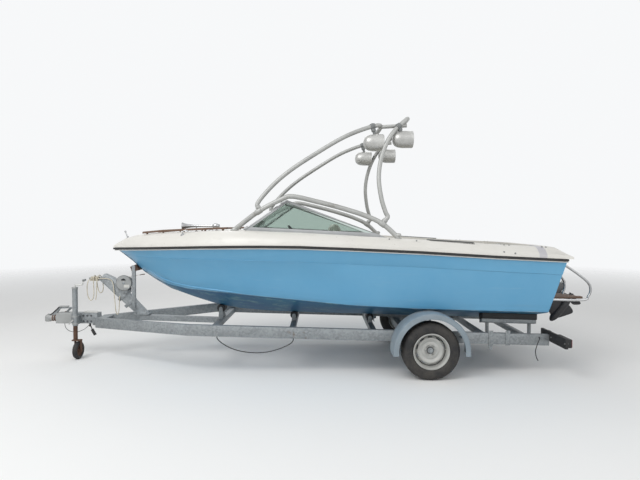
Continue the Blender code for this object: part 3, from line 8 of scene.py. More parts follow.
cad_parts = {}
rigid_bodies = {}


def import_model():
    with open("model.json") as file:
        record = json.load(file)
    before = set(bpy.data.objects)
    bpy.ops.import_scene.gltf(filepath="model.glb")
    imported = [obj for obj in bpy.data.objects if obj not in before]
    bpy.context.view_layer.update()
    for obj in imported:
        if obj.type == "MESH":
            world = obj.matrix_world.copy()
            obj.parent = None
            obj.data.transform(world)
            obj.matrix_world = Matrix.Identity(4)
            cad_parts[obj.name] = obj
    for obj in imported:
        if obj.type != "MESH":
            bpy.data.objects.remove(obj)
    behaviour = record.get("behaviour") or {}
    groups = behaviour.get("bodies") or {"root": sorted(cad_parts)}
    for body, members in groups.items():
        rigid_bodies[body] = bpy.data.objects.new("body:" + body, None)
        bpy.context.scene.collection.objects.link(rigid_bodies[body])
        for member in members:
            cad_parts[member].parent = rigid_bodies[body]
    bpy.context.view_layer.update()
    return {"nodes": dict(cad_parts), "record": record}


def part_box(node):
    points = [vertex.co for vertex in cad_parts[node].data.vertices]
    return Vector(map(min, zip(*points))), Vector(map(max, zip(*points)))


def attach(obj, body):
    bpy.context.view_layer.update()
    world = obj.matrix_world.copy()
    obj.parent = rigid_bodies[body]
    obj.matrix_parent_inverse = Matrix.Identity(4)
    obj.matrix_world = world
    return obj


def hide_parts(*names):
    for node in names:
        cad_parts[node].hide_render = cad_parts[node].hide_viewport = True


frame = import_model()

# A stern-drive runabout on its trailer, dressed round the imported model.
# Places below are read from the axle: x to the bow, y to port, z up from the ground, in metres.

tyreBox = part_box("tyre_port")
axleX = (tyreBox[0].x + tyreBox[1].x) / 2
scene = bpy.context.scene
scene.view_settings.view_transform = "Standard"
bodyOf = {node: body for body, nodes in frame["record"]["behaviour"]["bodies"].items() for node in nodes}
hullBody = bodyOf["hull"]


def at(x, y, z):
    return Vector((x + axleX, y, z))


# Camera and cords

cameraSettings = {"place": (1.107, 5.670, 1.543), "pitchDown": 1.727, "lens": 27.06}
cameraData = bpy.data.cameras.new("photoCamera")
cameraData.lens = cameraSettings["lens"]
cameraData.clip_end = 200
camera = bpy.data.objects.new("photoCamera", cameraData)
camera.location = at(*cameraSettings["place"])
camera.rotation_euler = (math.radians(90 - cameraSettings["pitchDown"]), 0, math.pi)
scene.collection.objects.link(camera)
scene.camera = camera


def smoothRoute(points, per=3):
    # a smooth line through the points
    knots = [Vector(p) for p in points]
    knots = [knots[0] * 2 - knots[1], *knots, knots[-1] * 2 - knots[-2]]
    route = []
    for a, b, c, d in zip(knots, knots[1:], knots[2:], knots[3:]):
        for step in range(per):
            t = step / per
            route.append(0.5 * (2 * b + (c - a) * t + (2 * a - 5 * b + 4 * c - d) * t ** 2
                                + (3 * b - a - 3 * c + d) * t ** 3))
    return route + [knots[-2]]


def pipe(name, route, radius, body, paint, sides=4, closed=False):
    # a round tube along a route, kept as a curve
    curve = bpy.data.curves.new(name, "CURVE")
    curve.dimensions = "3D"
    curve.twist_mode = "MINIMUM"
    curve.bevel_depth = radius
    curve.bevel_resolution = sides
    curve.use_fill_caps = True
    spline = curve.splines.new("POLY")
    spline.points.add(len(route) - 1)
    for point, place in zip(spline.points, route):
        point.co = (*place, 1)
    spline.use_cyclic_u = closed
    spline.use_smooth = True
    piece = bpy.data.objects.new(name, curve)
    scene.collection.objects.link(piece)
    curve.materials.append(paints[paint])
    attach(piece, body)
    return piece


paints = {}


def paintFor(name):
    if name not in paints:
        paints[name] = bpy.data.materials.new(name)
        paints[name].use_nodes = True
    return paints[name]


for paintName in ("hullPaint", "deckGelcoat", "linerGelcoat", "blackRubber", "towerPaint", "frameMetal", "tintedGlass",
                  "teakWood", "chrome", "seatVinyl", "driveBlack", "enginePaint", "galvanised", "rustySteel",
                  "wheelPaint", "tyreRubber", "fenderPlastic", "ropeFibre", "cableBlack", "strapWebbing", "whiteTrim",
                  "podSilver", "lensRed", "lensAmber", "lensClear", "zinc", "darkMeshAndShade", "greyPlastic", "gaugeFace", "blankPlate",
                  "castGrey", "groundSheet"):
    paintFor(paintName)

cordTable = {
    "breakawayCable": {
        "node": "breakaway_cable", "diameter": 0.006, "farEnd": "object", "stiffness": "medium", "lay": "hanging",
        "points": [(4.150, -.035, .3947), (4.150, -.035, .365), (4.140, -.036, .325), (4.105, -.037, .290),
                   (4.050, -.038, .274), (3.985, -.038, .278), (3.915, -.037, .310), (3.868, -.036, .350),
                   (3.855, -.035, .372), (3.852, -.035, .3947)]},
    "lightCable": {
        "node": "light_cable", "diameter": 0.009, "farEnd": "bare", "stiffness": "medium", "lay": "hanging",
        "points": [(-1.160, .7203, .385), (-1.159, .738, .384), (-1.150, .752, .366), (-1.128, .757, .320),
                   (-1.110, .757, .250), (-1.120, .755, .190), (-1.140, .752, .150)]},
    "brakeCable": {
        "node": "brake_cable", "diameter": 0.010, "farEnd": "object", "stiffness": "medium", "lay": "hanging",
        "points": [(2.180, .695, .3921), (2.176, .695, .365), (2.130, .695, .320), (2.040, .695, .268),
                   (1.930, .695, .234), (1.800, .695, .218), (1.660, .695, .225), (1.520, .695, .262),
                   (1.420, .695, .310), (1.389, .695, .343), (1.385, .695, .3703)]},
    "ropeTail": {
        "node": "rope_tail", "diameter": 0.010, "farEnd": "object", "stiffness": "limp", "lay": "hanging",
        "points": [(3.7247, .044, .918), (3.700, .0445, .919), (3.640, .046, .924), (3.570, .048, .912),
                   (3.535, .050, .870), (3.524, .050, .780), (3.512, .050, .640), (3.502, .052, .540),
                   (3.485, .052, .500), (3.468, .051, .540), (3.462, .051, .620), (3.458, .051, .690),
                   (3.457, .0465, .7085), (3.457, .0353, .711)]},
}
for cordName, facts in cordTable.items():
    route = [at(*p) for p in smoothRoute(facts["points"], 3)]
    paint = "ropeFibre" if "rope" in cordName else "cableBlack"
    cord = pipe(cordName, route, facts["diameter"] / 2, hullBody, paint, 4)
    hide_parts(facts["node"])

# The spare rope, wound round the level bracket ahead of the winch and hanging in loops
ropeHank = {
    "diameter": 0.010, "turns": 8, "startX": 3.7145, "pitch": 0.0125, "halfY": 0.0215, "halfZ": 0.0215,
    "middleZ": 0.915, "perTurn": 14,
}


def hankRoute():
    points = []
    count = ropeHank["turns"] * ropeHank["perTurn"]
    for i in range(count + 1):
        turn = i / ropeHank["perTurn"]
        angle = 2 * math.pi * turn
        # a rounded square path round the bracket
        c, s = math.cos(angle), math.sin(angle)
        reach = (abs(c) ** 4 + abs(s) ** 4) ** -0.25
        points.append((ropeHank["startX"] + ropeHank["pitch"] * turn, ropeHank["halfY"] * c * reach,
                       ropeHank["middleZ"] + ropeHank["halfZ"] * s * reach))
    return points


wound = hankRoute()
loops = [
    (3.8285, .034, .895), (3.838, .042, .850), (3.840, .045, .790), (3.833, .045, .725), (3.815, .045, .680),
    (3.795, .045, .664), (3.775, .045, .680), (3.762, .046, .730), (3.760, .047, .800), (3.764, .044, .870),
    (3.768, .036, .922), (3.769, .018, .9475), (3.769, -.002, .953), (3.768, -.022, .944), (3.765, -.036, .915),
    (3.760, -.040, .850), (3.748, -.041, .780), (3.728, -.041, .745), (3.706, -.041, .748), (3.690, -.042, .785),
    (3.692, -.043, .850), (3.702, -.041, .910), (3.711, -.030, .943), (3.715, -.008, .955), (3.716, .016, .954),
    (3.717, .038, .944), (3.719, .056, .920), (3.721, .058, .870), (3.724, .055, .790), (3.730, .053, .720),
    (3.738, .052, .670)]
hankPoints = [at(*p) for p in wound + smoothRoute(loops, 3)]
hankCord = pipe("ropeHank", hankPoints, ropeHank["diameter"] / 2, hullBody, "ropeFibre", 4)
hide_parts("rope_hank")


# Shader maths


class Wire:
    def __init__(self, tree, socket=None):
        self.tree = tree
        self.socket = socket

    def node(self, kind, settings=None, sockets=None, out=0):
        made = self.tree.nodes.new(kind)
        for key, value in (settings or {}).items():
            if key == "stops":
                ramp = made.color_ramp
                while len(ramp.elements) < len(value):
                    ramp.elements.new(0.5)
                for element, (place, colour) in zip(ramp.elements, value):
                    element.position = place
                    element.color = (*colour, 1) if hasattr(colour, "__len__") else (colour, colour, colour, 1)
            else:
                setattr(made, key, value)
        for key, value in (sockets or {}).items():
            if isinstance(value, Wire):
                self.tree.links.new(value.socket, made.inputs[key])
            else:
                made.inputs[key].default_value = value
        if isinstance(out, tuple):
            return [Wire(self.tree, made.outputs[name]) for name in out]
        return Wire(self.tree, made.outputs[out])

    def maths(self, operation, *values):
        return self.node("ShaderNodeMath", {"operation": operation}, dict(enumerate(values)))

    def __add__(self, other):
        return self.maths("ADD", self, other)

    def __sub__(self, other):
        return self.maths("SUBTRACT", self, other)

    def __rsub__(self, other):
        return self.maths("SUBTRACT", other, self)

    def __mul__(self, other):
        return self.maths("MULTIPLY", self, other)

    def __truediv__(self, other):
        return self.maths("DIVIDE", self, other)

    def __gt__(self, other):
        return self.maths("GREATER_THAN", self, other)

    def __lt__(self, other):
        return self.maths("LESS_THAN", self, other)

    __radd__ = __add__
    __rmul__ = __mul__

    def span(self, low, high, start=0.0, end=1.0):
        # maps low..high onto start..end and holds it there
        return self.node("ShaderNodeMapRange", {"clamp": True}, {0: self, 1: low, 2: high, 3: start, 4: end})

    def mix(self, under, over):
        # the colour under where this mask is 0, and over where it is 1
        colours = [(*c, 1) if isinstance(c, tuple) else c for c in (under, over)]
        return self.node("ShaderNodeMix", {"data_type": "RGBA"}, {0: self, 6: colours[0], 7: colours[1]}, 2)


def startPaint(name, uniform):
    # the material's coordinates, with the values that are the same all over set on the shader
    tree = paints[name].node_tree
    shader = tree.nodes["Principled BSDF"]
    for socket, value in uniform.items():
        shader.inputs[socket].default_value = value
    wire = Wire(tree)
    place = wire.node("ShaderNodeTexCoord", out="Object")
    return wire, place, shader


def feed(wire, shader, **links):
    for key, value in links.items():
        socket = {"colour": "Base Color", "rough": "Roughness", "metal": "Metallic", "normal": "Normal"}[key]
        wire.tree.links.new(value.socket, shader.inputs[socket])


def noise(place, scale, detail=4.0, rough=0.6, stretch=(1, 1, 1)):
    if stretch != (1, 1, 1):
        place = place.node("ShaderNodeMapping", None, {"Vector": place, "Scale": stretch})
    return place.node("ShaderNodeTexNoise", None, {"Vector": place, "Scale": scale, "Detail": detail,
                                                   "Roughness": rough})


def axes(place):
    return place.node("ShaderNodeSeparateXYZ", None, {0: place}, ("X", "Y", "Z"))


def bump(height, distance, strength=1.0, under=None):
    sockets = {"Height": height, "Distance": distance, "Strength": strength}
    if under is not None:
        sockets["Normal"] = under
    return height.node("ShaderNodeBump", None, sockets)


# Paints

chineLine = [  # x, height of the chine and of the paint's edge
    (-1.40, 0.652), (-0.60, 0.670), (0.10, 0.690), (0.80, 0.725), (1.30, 0.768), (1.70, 0.795), (2.05, 0.818),
    (2.32, 0.830), (2.58, 0.842), (2.83, 0.876), (3.02, 0.935), (3.18, 1.030), (3.32, 1.155), (3.50, 1.275),
]


def heightAlong(x, table):
    # a height that follows a table along the boat, as a wire
    first, last = table[0][0], table[-1][0]
    share = x.span(first + axleX, last + axleX)
    stops = [((px - first) / (last - first), pz / 2) for px, pz in table]
    return 2 * share.node("ShaderNodeValToRGB", {"stops": stops}, {0: share})


def paintHull():
    blue, bottomBlue = (0.115, 0.370, 0.600), (0.0015, 0.082, 0.205)
    wire, place, shader = startPaint("hullPaint", {"Coat Weight": 0.15, "Coat Roughness": 0.2})
    x, y, z = axes(place)
    edge = z - heightAlong(x, chineLine) - 0.004
    low = edge.span(0.003, -0.003)
    clouds = noise(place, 2.2, 5)
    fine = noise(place, 60, 3)
    streaks = noise(place, 5, 6, 0.7, (0.35, 1, 5))
    top = clouds.span(0.3, 0.75).mix(blue, (0.145, 0.405, 0.625))
    top = (streaks.span(0.60, 0.80) * 0.35).mix(top, (0.30, 0.48, 0.62))
    top = (edge.span(0.10, 0.0) * streaks.span(0.35, 0.75) * 0.5).mix(top, (0.050, 0.180, 0.330))
    scuff = noise(place, 9, 8, 0.75, (0.5, 1, 2))
    under = clouds.span(0.3, 0.7).mix(bottomBlue, (0.004, 0.125, 0.225))
    under = (scuff.span(0.53, 0.64) * 0.75).mix(under, (0.13, 0.30, 0.31))
    under = scuff.span(0.69, 0.72).mix(under, (0.48, 0.55, 0.55))
    worn = edge.maths("ABSOLUTE", edge).span(0.008, 0.0) * scuff.span(0.45, 0.6)
    colour = worn.mix(low.mix(top, under), (0.42, 0.55, 0.60))
    rough = low.span(0, 1, 0.28, 0.55) + streaks * 0.08
    feed(wire, shader, colour=colour, rough=rough, normal=bump(fine + scuff * low * 4, 0.0006, 0.5))


def paintGelcoat(name, base, dirt, grain, castShadowBand=False):
    wire, place, shader = startPaint(name, {"Coat Weight": 0.1})
    x, y, z = axes(place)
    clouds = noise(place, 1.6, 5)
    streaks = noise(place, 7, 6, 0.7, (0.4, 0.4, 1))
    spots = noise(place, 38, 3, 0.6)
    colour = (clouds.span(0.35, 0.75) * 0.5).mix(base, dirt)
    colour = (streaks.span(0.58, 0.78) * 0.45).mix(colour, tuple(c * 0.72 for c in dirt))
    colour = (spots.span(0.68, 0.74) * 0.5).mix(colour, (0.30, 0.27, 0.22))
    if castShadowBand:
        # painted shadow: a grey-lilac band across the port side deck where a cast shadow falls
        low, high = axleX - 1.135, axleX - 1.050
        shadowStripe = x.span(low, low + 0.006) * x.span(high, high - 0.006) * (y > 0.55)
        colour = (shadowStripe * streaks.span(0.2, 0.6, 0.45, 0.9)).mix(colour, (0.46, 0.455, 0.50))
    feed(wire, shader, colour=colour, rough=streaks.span(0.3, 0.8, 0.30, 0.55),
         normal=bump(noise(place, grain, 2), 0.0005, 0.35))


def paintMetal(name, base, stain, metal, rough, stainFrom, grain=90, spangle=0.0):
    # bare or coated metal with stains
    wire, place, shader = startPaint(name, {})
    patches = noise(place, 6, 7, 0.7)
    speck = noise(place, grain, 3)
    colour = noise(place, 3.2, 6).span(0.3, 0.7).mix(base, tuple(c * 0.72 for c in base))
    if spangle:
        cells = place.node("ShaderNodeTexVoronoi", None, {"Vector": place, "Scale": 55.0}, 1)
        cells = cells.node("ShaderNodeSeparateColor", None, {0: cells})
        colour = (cells * spangle).mix(colour, tuple(min(1, c * 1.45) for c in base))
    mask = patches.span(stainFrom, stainFrom + 0.10)
    colour = mask.mix(colour, stain)
    feed(wire, shader, colour=colour, rough=mask.span(0, 1, rough, 0.85) + speck * 0.08,
         metal=mask.span(0, 1, metal, 0.1), normal=bump(speck + mask * 0.6, 0.0006, 0.5))


def paintPlain(name, base, rough, metal=0.0, grain=120, contrast=0.25, uniform=None):
    # moulded plastic, rubber or paint with a little dust
    wire, place, shader = startPaint(name, {"Metallic": metal, **(uniform or {})})
    clouds = noise(place, 5, 5)
    dust = noise(place, 22, 5, 0.7)
    colour = clouds.span(0.3, 0.75).mix(base, tuple(c * (1 - contrast) for c in base))
    colour = (dust.span(0.62, 0.8) * 0.4).mix(colour, tuple(min(1, c + 0.10) for c in base))
    feed(wire, shader, colour=colour, rough=dust.span(0.3, 0.8, rough - 0.06, rough + 0.08),
         normal=bump(noise(place, grain, 2), 0.0004, 0.4))


def paintWood():
    wire, place, shader = startPaint("teakWood", {})
    rings = place.node("ShaderNodeMapping", None, {"Vector": place, "Scale": (0.5, 9.0, 9.0)})
    wave = rings.node("ShaderNodeTexNoise", None, {"Vector": rings, "Scale": 12.0, "Detail": 6.0})
    fine = noise(place, 90, 4, 0.7, (0.06, 1, 1))
    colour = wave.span(0.3, 0.7).mix((0.190, 0.118, 0.080), (0.105, 0.062, 0.042))
    colour = (fine.span(0.55, 0.75) * 0.5).mix(colour, (0.34, 0.27, 0.21))
    feed(wire, shader, colour=colour, rough=fine.span(0.3, 0.8, 0.55, 0.8), normal=bump(fine, 0.0010, 0.6))


def paintGlass():
    wire, place, shader = startPaint("tintedGlass", {
        "Base Color": (0.60, 0.68, 0.64, 1), "Transmission Weight": 1.0, "IOR": 1.25, "Roughness": 0.02})
    smear = noise(place, 14, 4)
    feed(wire, shader, rough=smear.span(0.5, 0.9, 0.02, 0.14))


def paintVinyl():
    wire, place, shader = startPaint("seatVinyl", {})
    grain = place.node("ShaderNodeTexVoronoi", None, {"Vector": place, "Scale": 420.0})
    clouds = noise(place, 7, 5)
    colour = clouds.span(0.35, 0.75).mix((0.62, 0.61, 0.56), (0.47, 0.46, 0.41))
    feed(wire, shader, colour=colour, rough=clouds.span(0.3, 0.8, 0.42, 0.62), normal=bump(grain, 0.0004, 0.5))


def paintRope():
    # twisted strands, from the curve's own coordinates
    wire, place, shader = startPaint("ropeFibre", {"Roughness": 0.9})
    u, v, w = axes(wire.node("ShaderNodeTexCoord", out="UV"))
    lengthways = noise(place, 30, 4)
    fibres = noise(place, 320, 3, 0.7)
    colour = lengthways.span(0.3, 0.75).mix((0.72, 0.67, 0.55), (0.46, 0.41, 0.31))
    colour = (fibres.span(0.5, 0.8) * 0.5).mix(colour, (0.80, 0.76, 0.66))
    feed(wire, shader, colour=colour, normal=bump(fibres, 0.0010, 0.7))


def paintWebbing():
    wire, place, shader = startPaint("strapWebbing", {"Roughness": 0.85})
    ribs = place.node("ShaderNodeTexWave", {"wave_type": "BANDS", "bands_direction": "X"},
                      {"Vector": place, "Scale": 160.0}, "Fac")
    lines = place.node("ShaderNodeTexWave", {"wave_type": "BANDS", "bands_direction": "Y"},
                       {"Vector": place, "Scale": 90.0}, "Fac")
    clouds = noise(place, 18, 4)
    colour = clouds.span(0.3, 0.7).mix((0.42, 0.34, 0.24), (0.25, 0.19, 0.13))
    feed(wire, shader, colour=colour, normal=bump(ribs + lines, 0.0006, 0.6))


def paintTyre():
    wire, place, shader = startPaint("tyreRubber", {})
    dust = noise(place, 8, 6, 0.7)
    fine = noise(place, 70, 4)
    colour = dust.span(0.40, 0.75).mix((0.017, 0.017, 0.018), (0.075, 0.068, 0.060))
    feed(wire, shader, colour=colour, rough=dust.span(0.3, 0.8, 0.62, 0.9), normal=bump(fine, 0.0006, 0.5))


def paintLens(name, colour):
    wire, place, shader = startPaint(name, {"Roughness": 0.15, "Coat Weight": 0.6})
    ribs = place.node("ShaderNodeTexWave", {"wave_type": "BANDS", "bands_direction": "Y"},
                      {"Vector": place, "Scale": 60.0}, "Fac")
    tone = ribs.mix(colour, tuple(c * 0.6 for c in colour))
    feed(wire, shader, colour=tone, normal=bump(ribs, 0.0010, 0.5))


paintHull()
# the deck gelcoat carries a painted cast shadow across the port side deck
paintGelcoat("deckGelcoat", (0.76, 0.745, 0.70), (0.62, 0.60, 0.55), 240, castShadowBand=True)
paintGelcoat("linerGelcoat", (0.62, 0.60, 0.53), (0.46, 0.44, 0.38), 320)
paintMetal("towerPaint", (0.47, 0.475, 0.46), (0.25, 0.235, 0.21), 0.35, 0.46, 0.62)
paintMetal("podSilver", (0.60, 0.60, 0.58), (0.36, 0.35, 0.33), 0.45, 0.34, 0.68, 150)
paintMetal("frameMetal", (0.40, 0.41, 0.415), (0.24, 0.24, 0.23), 0.80, 0.40, 0.64, 160)
paintMetal("chrome", (0.52, 0.525, 0.53), (0.33, 0.31, 0.27), 1.0, 0.20, 0.70, 140)
paintMetal("galvanised", (0.285, 0.305, 0.315), (0.150, 0.105, 0.075), 0.55, 0.50, 0.635, 80, 0.50)
paintMetal("rustySteel", (0.150, 0.083, 0.055), (0.075, 0.037, 0.025), 0.25, 0.78, 0.52)
paintMetal("wheelPaint", (0.52, 0.52, 0.495), (0.30, 0.165, 0.09), 0.30, 0.45, 0.615)
paintMetal("zinc", (0.62, 0.62, 0.60), (0.42, 0.42, 0.40), 0.3, 0.60, 0.60)
paintMetal("driveBlack", (0.022, 0.022, 0.025), (0.11, 0.11, 0.105), 0.0, 0.42, 0.66)
paintMetal("enginePaint", (0.13, 0.14, 0.15), (0.09, 0.06, 0.04), 0.3, 0.50, 0.64)
paintMetal("castGrey", (0.41, 0.42, 0.415), (0.27, 0.15, 0.09), 0.35, 0.55, 0.64)
paintPlain("blackRubber", (0.022, 0.022, 0.023), 0.62)
paintPlain("cableBlack", (0.020, 0.020, 0.020), 0.50)
paintPlain("fenderPlastic", (0.27, 0.325, 0.365), 0.50, grain=200)
paintPlain("whiteTrim", (0.74, 0.74, 0.71), 0.45)
paintPlain("greyPlastic", (0.22, 0.23, 0.23), 0.55)
# near-black finish for grille meshes, louvres and slots, and for the rings of painted shade in the wheel rims
paintPlain("darkMeshAndShade", (0.020, 0.020, 0.021), 0.75)
paintPlain("gaugeFace", (0.035, 0.035, 0.037), 0.30)
paintPlain("blankPlate", (0.66, 0.66, 0.62), 0.50)
paintWood()
paintGlass()
paintVinyl()
paintRope()
paintWebbing()
paintTyre()
paintLens("lensRed", (0.42, 0.012, 0.010))
paintLens("lensAmber", (0.62, 0.20, 0.015))
paintLens("lensClear", (0.55, 0.55, 0.53))
print("paints made")

slotPaint = {
    "hull_blue": "hullPaint", "gelcoat_cream": "deckGelcoat", "liner_cream": "linerGelcoat",
    "black_rubber": "blackRubber", "tower_paint": "towerPaint", "frame_aluminium": "frameMetal",
    "tinted_glass": "tintedGlass", "teak": "teakWood", "stainless": "chrome", "vinyl": "seatVinyl",
    "drive_black": "driveBlack", "engine_grey": "enginePaint", "galvanised": "galvanised",
    "rusty_steel": "rustySteel", "wheel_silver": "wheelPaint", "tyre_rubber": "tyreRubber",
    "fender_grey": "fenderPlastic", "rope_cream": "ropeFibre", "cable_black": "cableBlack", "webbing": "strapWebbing",
}
for node, obj in frame["nodes"].items():
    for holder in obj.material_slots:
        base = holder.material.name.split(".")[0]
        holder.material = paints[slotPaint.get(base, "galvanised")]


# Modelling helpers


def slotOf(paint):
    for slot, name in slotPaint.items():
        if name == paint:
            return slot
    return {"whiteTrim": "gelcoat_cream", "podSilver": "tower_paint", "zinc": "galvanised", "castGrey": "galvanised", "lensClear": "stainless",
            "blankPlate": "gelcoat_cream"}.get(paint, "black_rubber")


def finishPiece(name, bm, paint, body=hullBody, replaced=(), bevelWidth=0.0, segments=2, smoothAngle=35, levels=0):
    # cleans the mesh, makes it an object at the origin and puts it on its body
    bmesh.ops.remove_doubles(bm, verts=bm.verts, dist=0.00002)
    bmesh.ops.recalc_face_normals(bm, faces=bm.faces)
    mesh = bpy.data.meshes.new(name)
    bm.to_mesh(mesh)
    bm.free()
    mesh.materials.append(paints[paint])
    piece = bpy.data.objects.new(name, mesh)
    scene.collection.objects.link(piece)
    if bevelWidth:
        edge = piece.modifiers.new("edge", "BEVEL")
        edge.width = bevelWidth
        edge.segments = segments
        edge.limit_method = "ANGLE"
        edge.angle_limit = math.radians(30)
        edge.harden_normals = False
    if levels:
        curved = piece.modifiers.new("curved", "SUBSURF")
        curved.levels = curved.render_levels = levels
    mesh.shade_smooth()
    if not levels:
        split = piece.modifiers.new("split", "EDGE_SPLIT")
        split.split_angle = math.radians(smoothAngle)
    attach(piece, body)
    slotOf(paint)
    if replaced:
        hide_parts(*replaced)
    return piece


def frameTo(axis, centre, up=(0, 0, 1)):
    # a matrix whose Z lies along the axis
    z = Vector(axis).normalized()
    side = Vector(up).cross(z)
    if side.length < 1e-4:
        side = Vector((1, 0, 0)).cross(z)
        if side.length < 1e-4:
            side = Vector((0, 1, 0)).cross(z)
    side.normalize()
    other = z.cross(side)
    return Matrix.Translation(centre) @ Matrix((side, other, z)).transposed().to_4x4()


def addBox(bm, low, high, turn=None):
    low, high = Vector(low), Vector(high)
    size, middle = high - low, (low + high) / 2
    matrix = Matrix.Translation(middle) @ Matrix.Diagonal((*size, 1))
    if turn is not None:
        matrix = turn @ matrix
    return bmesh.ops.create_cube(bm, size=1.0, matrix=matrix)["verts"]


def addRod(bm, start, end, radius, steps=24, endRadius=None):
    start, end = Vector(start), Vector(end)
    matrix = frameTo(end - start, (start + end) / 2)
    tip = radius if endRadius is None else endRadius
    return bmesh.ops.create_cone(bm, cap_ends=True, segments=steps, radius1=radius, radius2=tip,
                                 depth=(end - start).length, matrix=matrix)["verts"]


def addTurned(bm, profile, centre, axis, steps=48, sweep=2 * math.pi, closed=False, startSide=None):
    # a profile of (radius, along) pairs spun about an axis
    matrix = frameTo(axis, Vector(centre), startSide or (0, 0, 1))
    verts = [bm.verts.new((r, 0, h)) for r, h in profile]
    edges = [bm.edges.new(pair) for pair in zip(verts, verts[1:])]
    if closed:
        edges.append(bm.edges.new((verts[-1], verts[0])))
    full = abs(sweep - 2 * math.pi) < 1e-6
    before = set(bm.verts)
    made = bmesh.ops.spin(bm, geom=verts + edges, cent=(0, 0, 0), axis=(0, 0, 1), angle=sweep, steps=steps,
                          use_merge=full, use_duplicate=False)
    grown = set(verts) | (set(bm.verts) - before)
    if not full:
        for ring in (verts, [v for v in made["geom_last"] if isinstance(v, bmesh.types.BMVert)]):
            if closed:
                bm.faces.new(ring)
    bmesh.ops.transform(bm, matrix=matrix, verts=list(grown))
    bmesh.ops.remove_doubles(bm, verts=list(grown), dist=0.00002)
    return grown


def addSlab(bm, outline, low, high, axis="Y"):
    # an outline of (a, b) pairs pushed through along an axis
    turnBack = {"Y": lambda a, b, c: (a, c, b), "X": lambda a, b, c: (c, a, b), "Z": lambda a, b, c: (a, b, c)}[axis]
    verts = [bm.verts.new(turnBack(a, b, low)) for a, b in outline]
    face = bm.faces.new(verts)
    grown = bmesh.ops.extrude_face_region(bm, geom=[face])["geom"]
    moved = [v for v in grown if isinstance(v, bmesh.types.BMVert)]
    step = Vector(turnBack(0, 0, high - low))
    bmesh.ops.translate(bm, verts=moved, vec=step)
    return verts + moved


def xShift(outline):
    return [(x + axleX, z) for x, z in outline]


def surfaceOf(*nodes):
    trees = []
    for node in nodes:
        mesh = frame["nodes"][node].data
        trees.append(BVHTree.FromPolygons([v.co for v in mesh.vertices], [p.vertices for p in mesh.polygons]))
    return trees


deckTree = surfaceOf("deck")[0]
hullTree = surfaceOf("hull")[0]


def deckAt(x, y):
    # the deck's surface and its slope under a place
    hit, normal, _, _ = deckTree.ray_cast(at(x, y, 3.0), Vector((0, 0, -1)))
    return hit, normal


# Floor and light

floorSettings = {"size": 60.0, "colour": (0.90, 0.90, 0.89), "fadeFrom": 6.0, "fadeTo": 16.0}
lightSettings = {"worldStrength": 0.48, "keyPower": 430, "keySize": 5.0, "fillPower": 110}


def makeStage():
    bm = bmesh.new()
    bmesh.ops.create_circle(bm, cap_ends=True, segments=64, radius=floorSettings["size"] / 2)
    mesh = bpy.data.meshes.new("studioFloor")
    bm.to_mesh(mesh)
    bm.free()
    floor = bpy.data.objects.new("studioFloor", mesh)
    scene.collection.objects.link(floor)
    mesh.materials.append(paints["groundSheet"])
    wire, place, shader = startPaint("groundSheet", {"Roughness": 0.9, "Specular IOR Level": 0.1})
    x, y, z = axes(place)
    away = (x * x + y * y).maths("SQRT", x * x + y * y)
    tone = (noise(place, 3, 4) * 0.3).mix(floorSettings["colour"], tuple(c * 0.97 for c in floorSettings["colour"]))
    wire.tree.links.new(tone.socket, shader.inputs["Base Color"])
    clear = wire.node("ShaderNodeBsdfTransparent")
    fade = away.span(floorSettings["fadeFrom"], floorSettings["fadeTo"])
    both = wire.node("ShaderNodeMixShader", None, {0: fade, 1: Wire(wire.tree, shader.outputs[0]), 2: clear})
    wire.tree.links.new(both.socket, wire.tree.nodes["Material Output"].inputs["Surface"])

    world = bpy.data.worlds.new("studio")
    scene.world = world
    world.use_nodes = True
    sky = Wire(world.node_tree)
    path = sky.node("ShaderNodeLightPath", out=("Is Camera Ray", "Is Glossy Ray", "Is Transmission Ray"))
    seen = path[0].maths("MAXIMUM", path[0], path[1].maths("MAXIMUM", path[1], path[2]))
    background = world.node_tree.nodes["Background"]
    background.inputs["Color"].default_value = (0.93, 0.94, 0.95, 1)
    strength = seen.span(0, 1, lightSettings["worldStrength"], 1.0)
    world.node_tree.links.new(strength.socket, background.inputs["Strength"])

    for name, place, power, size in (
            ("keyLight", (4.5, 5.5, 7.0), lightSettings["keyPower"], lightSettings["keySize"]),
            ("fillLight", (-4.5, 5.0, 4.5), lightSettings["fillPower"], 6.0),
            ("backLight", (0.5, -6.0, 6.5), lightSettings["fillPower"], 6.0)):
        data = bpy.data.lights.new(name, "AREA")
        data.energy = power
        data.size = size
        lamp = bpy.data.objects.new(name, data)
        lamp.location = place
        lamp.rotation_euler = (Vector((0, 0, 0.8)) - Vector(place)).to_track_quat("-Z", "Y").to_euler()
        scene.collection.objects.link(lamp)


makeStage()
print("stage set")


# Tower

towerRoutes = {
    "base": [(2.000, 0.630, 1.502), (1.740, 0.690, 1.690), (1.500, 0.735, 1.812), (1.387, 0.745, 1.840),
             (1.143, 0.755, 1.788), (0.879, 0.770, 1.718), (0.654, 0.790, 1.645), (0.477, 0.815, 1.560),
             (0.323, 0.850, 1.420)],
    "front": [(1.735, 0.690, 1.715), (1.750, 0.688, 1.776), (1.600, 0.675, 1.955), (1.409, 0.660, 2.119),
              (1.144, 0.640, 2.295), (0.876, 0.620, 2.455), (0.673, 0.605, 2.543), (0.511, 0.585, 2.592),
              (0.458, 0.480, 2.595), (0.458, 0.0, 2.600)],
    "rear": [(0.470, 0.815, 1.575), (0.424, 0.808, 1.629), (0.445, 0.800, 1.680), (0.481, 0.775, 1.807),
             (0.505, 0.740, 1.991), (0.494, 0.710, 2.151), (0.451, 0.680, 2.313), (0.380, 0.655, 2.463),
             (0.289, 0.625, 2.575), (0.200, 0.580, 2.655), (0.177, 0.480, 2.672), (0.177, 0.0, 2.678)],
}
towerTubes = {"base": 0.025, "front": 0.0225, "rear": 0.0225, "link": 0.020}
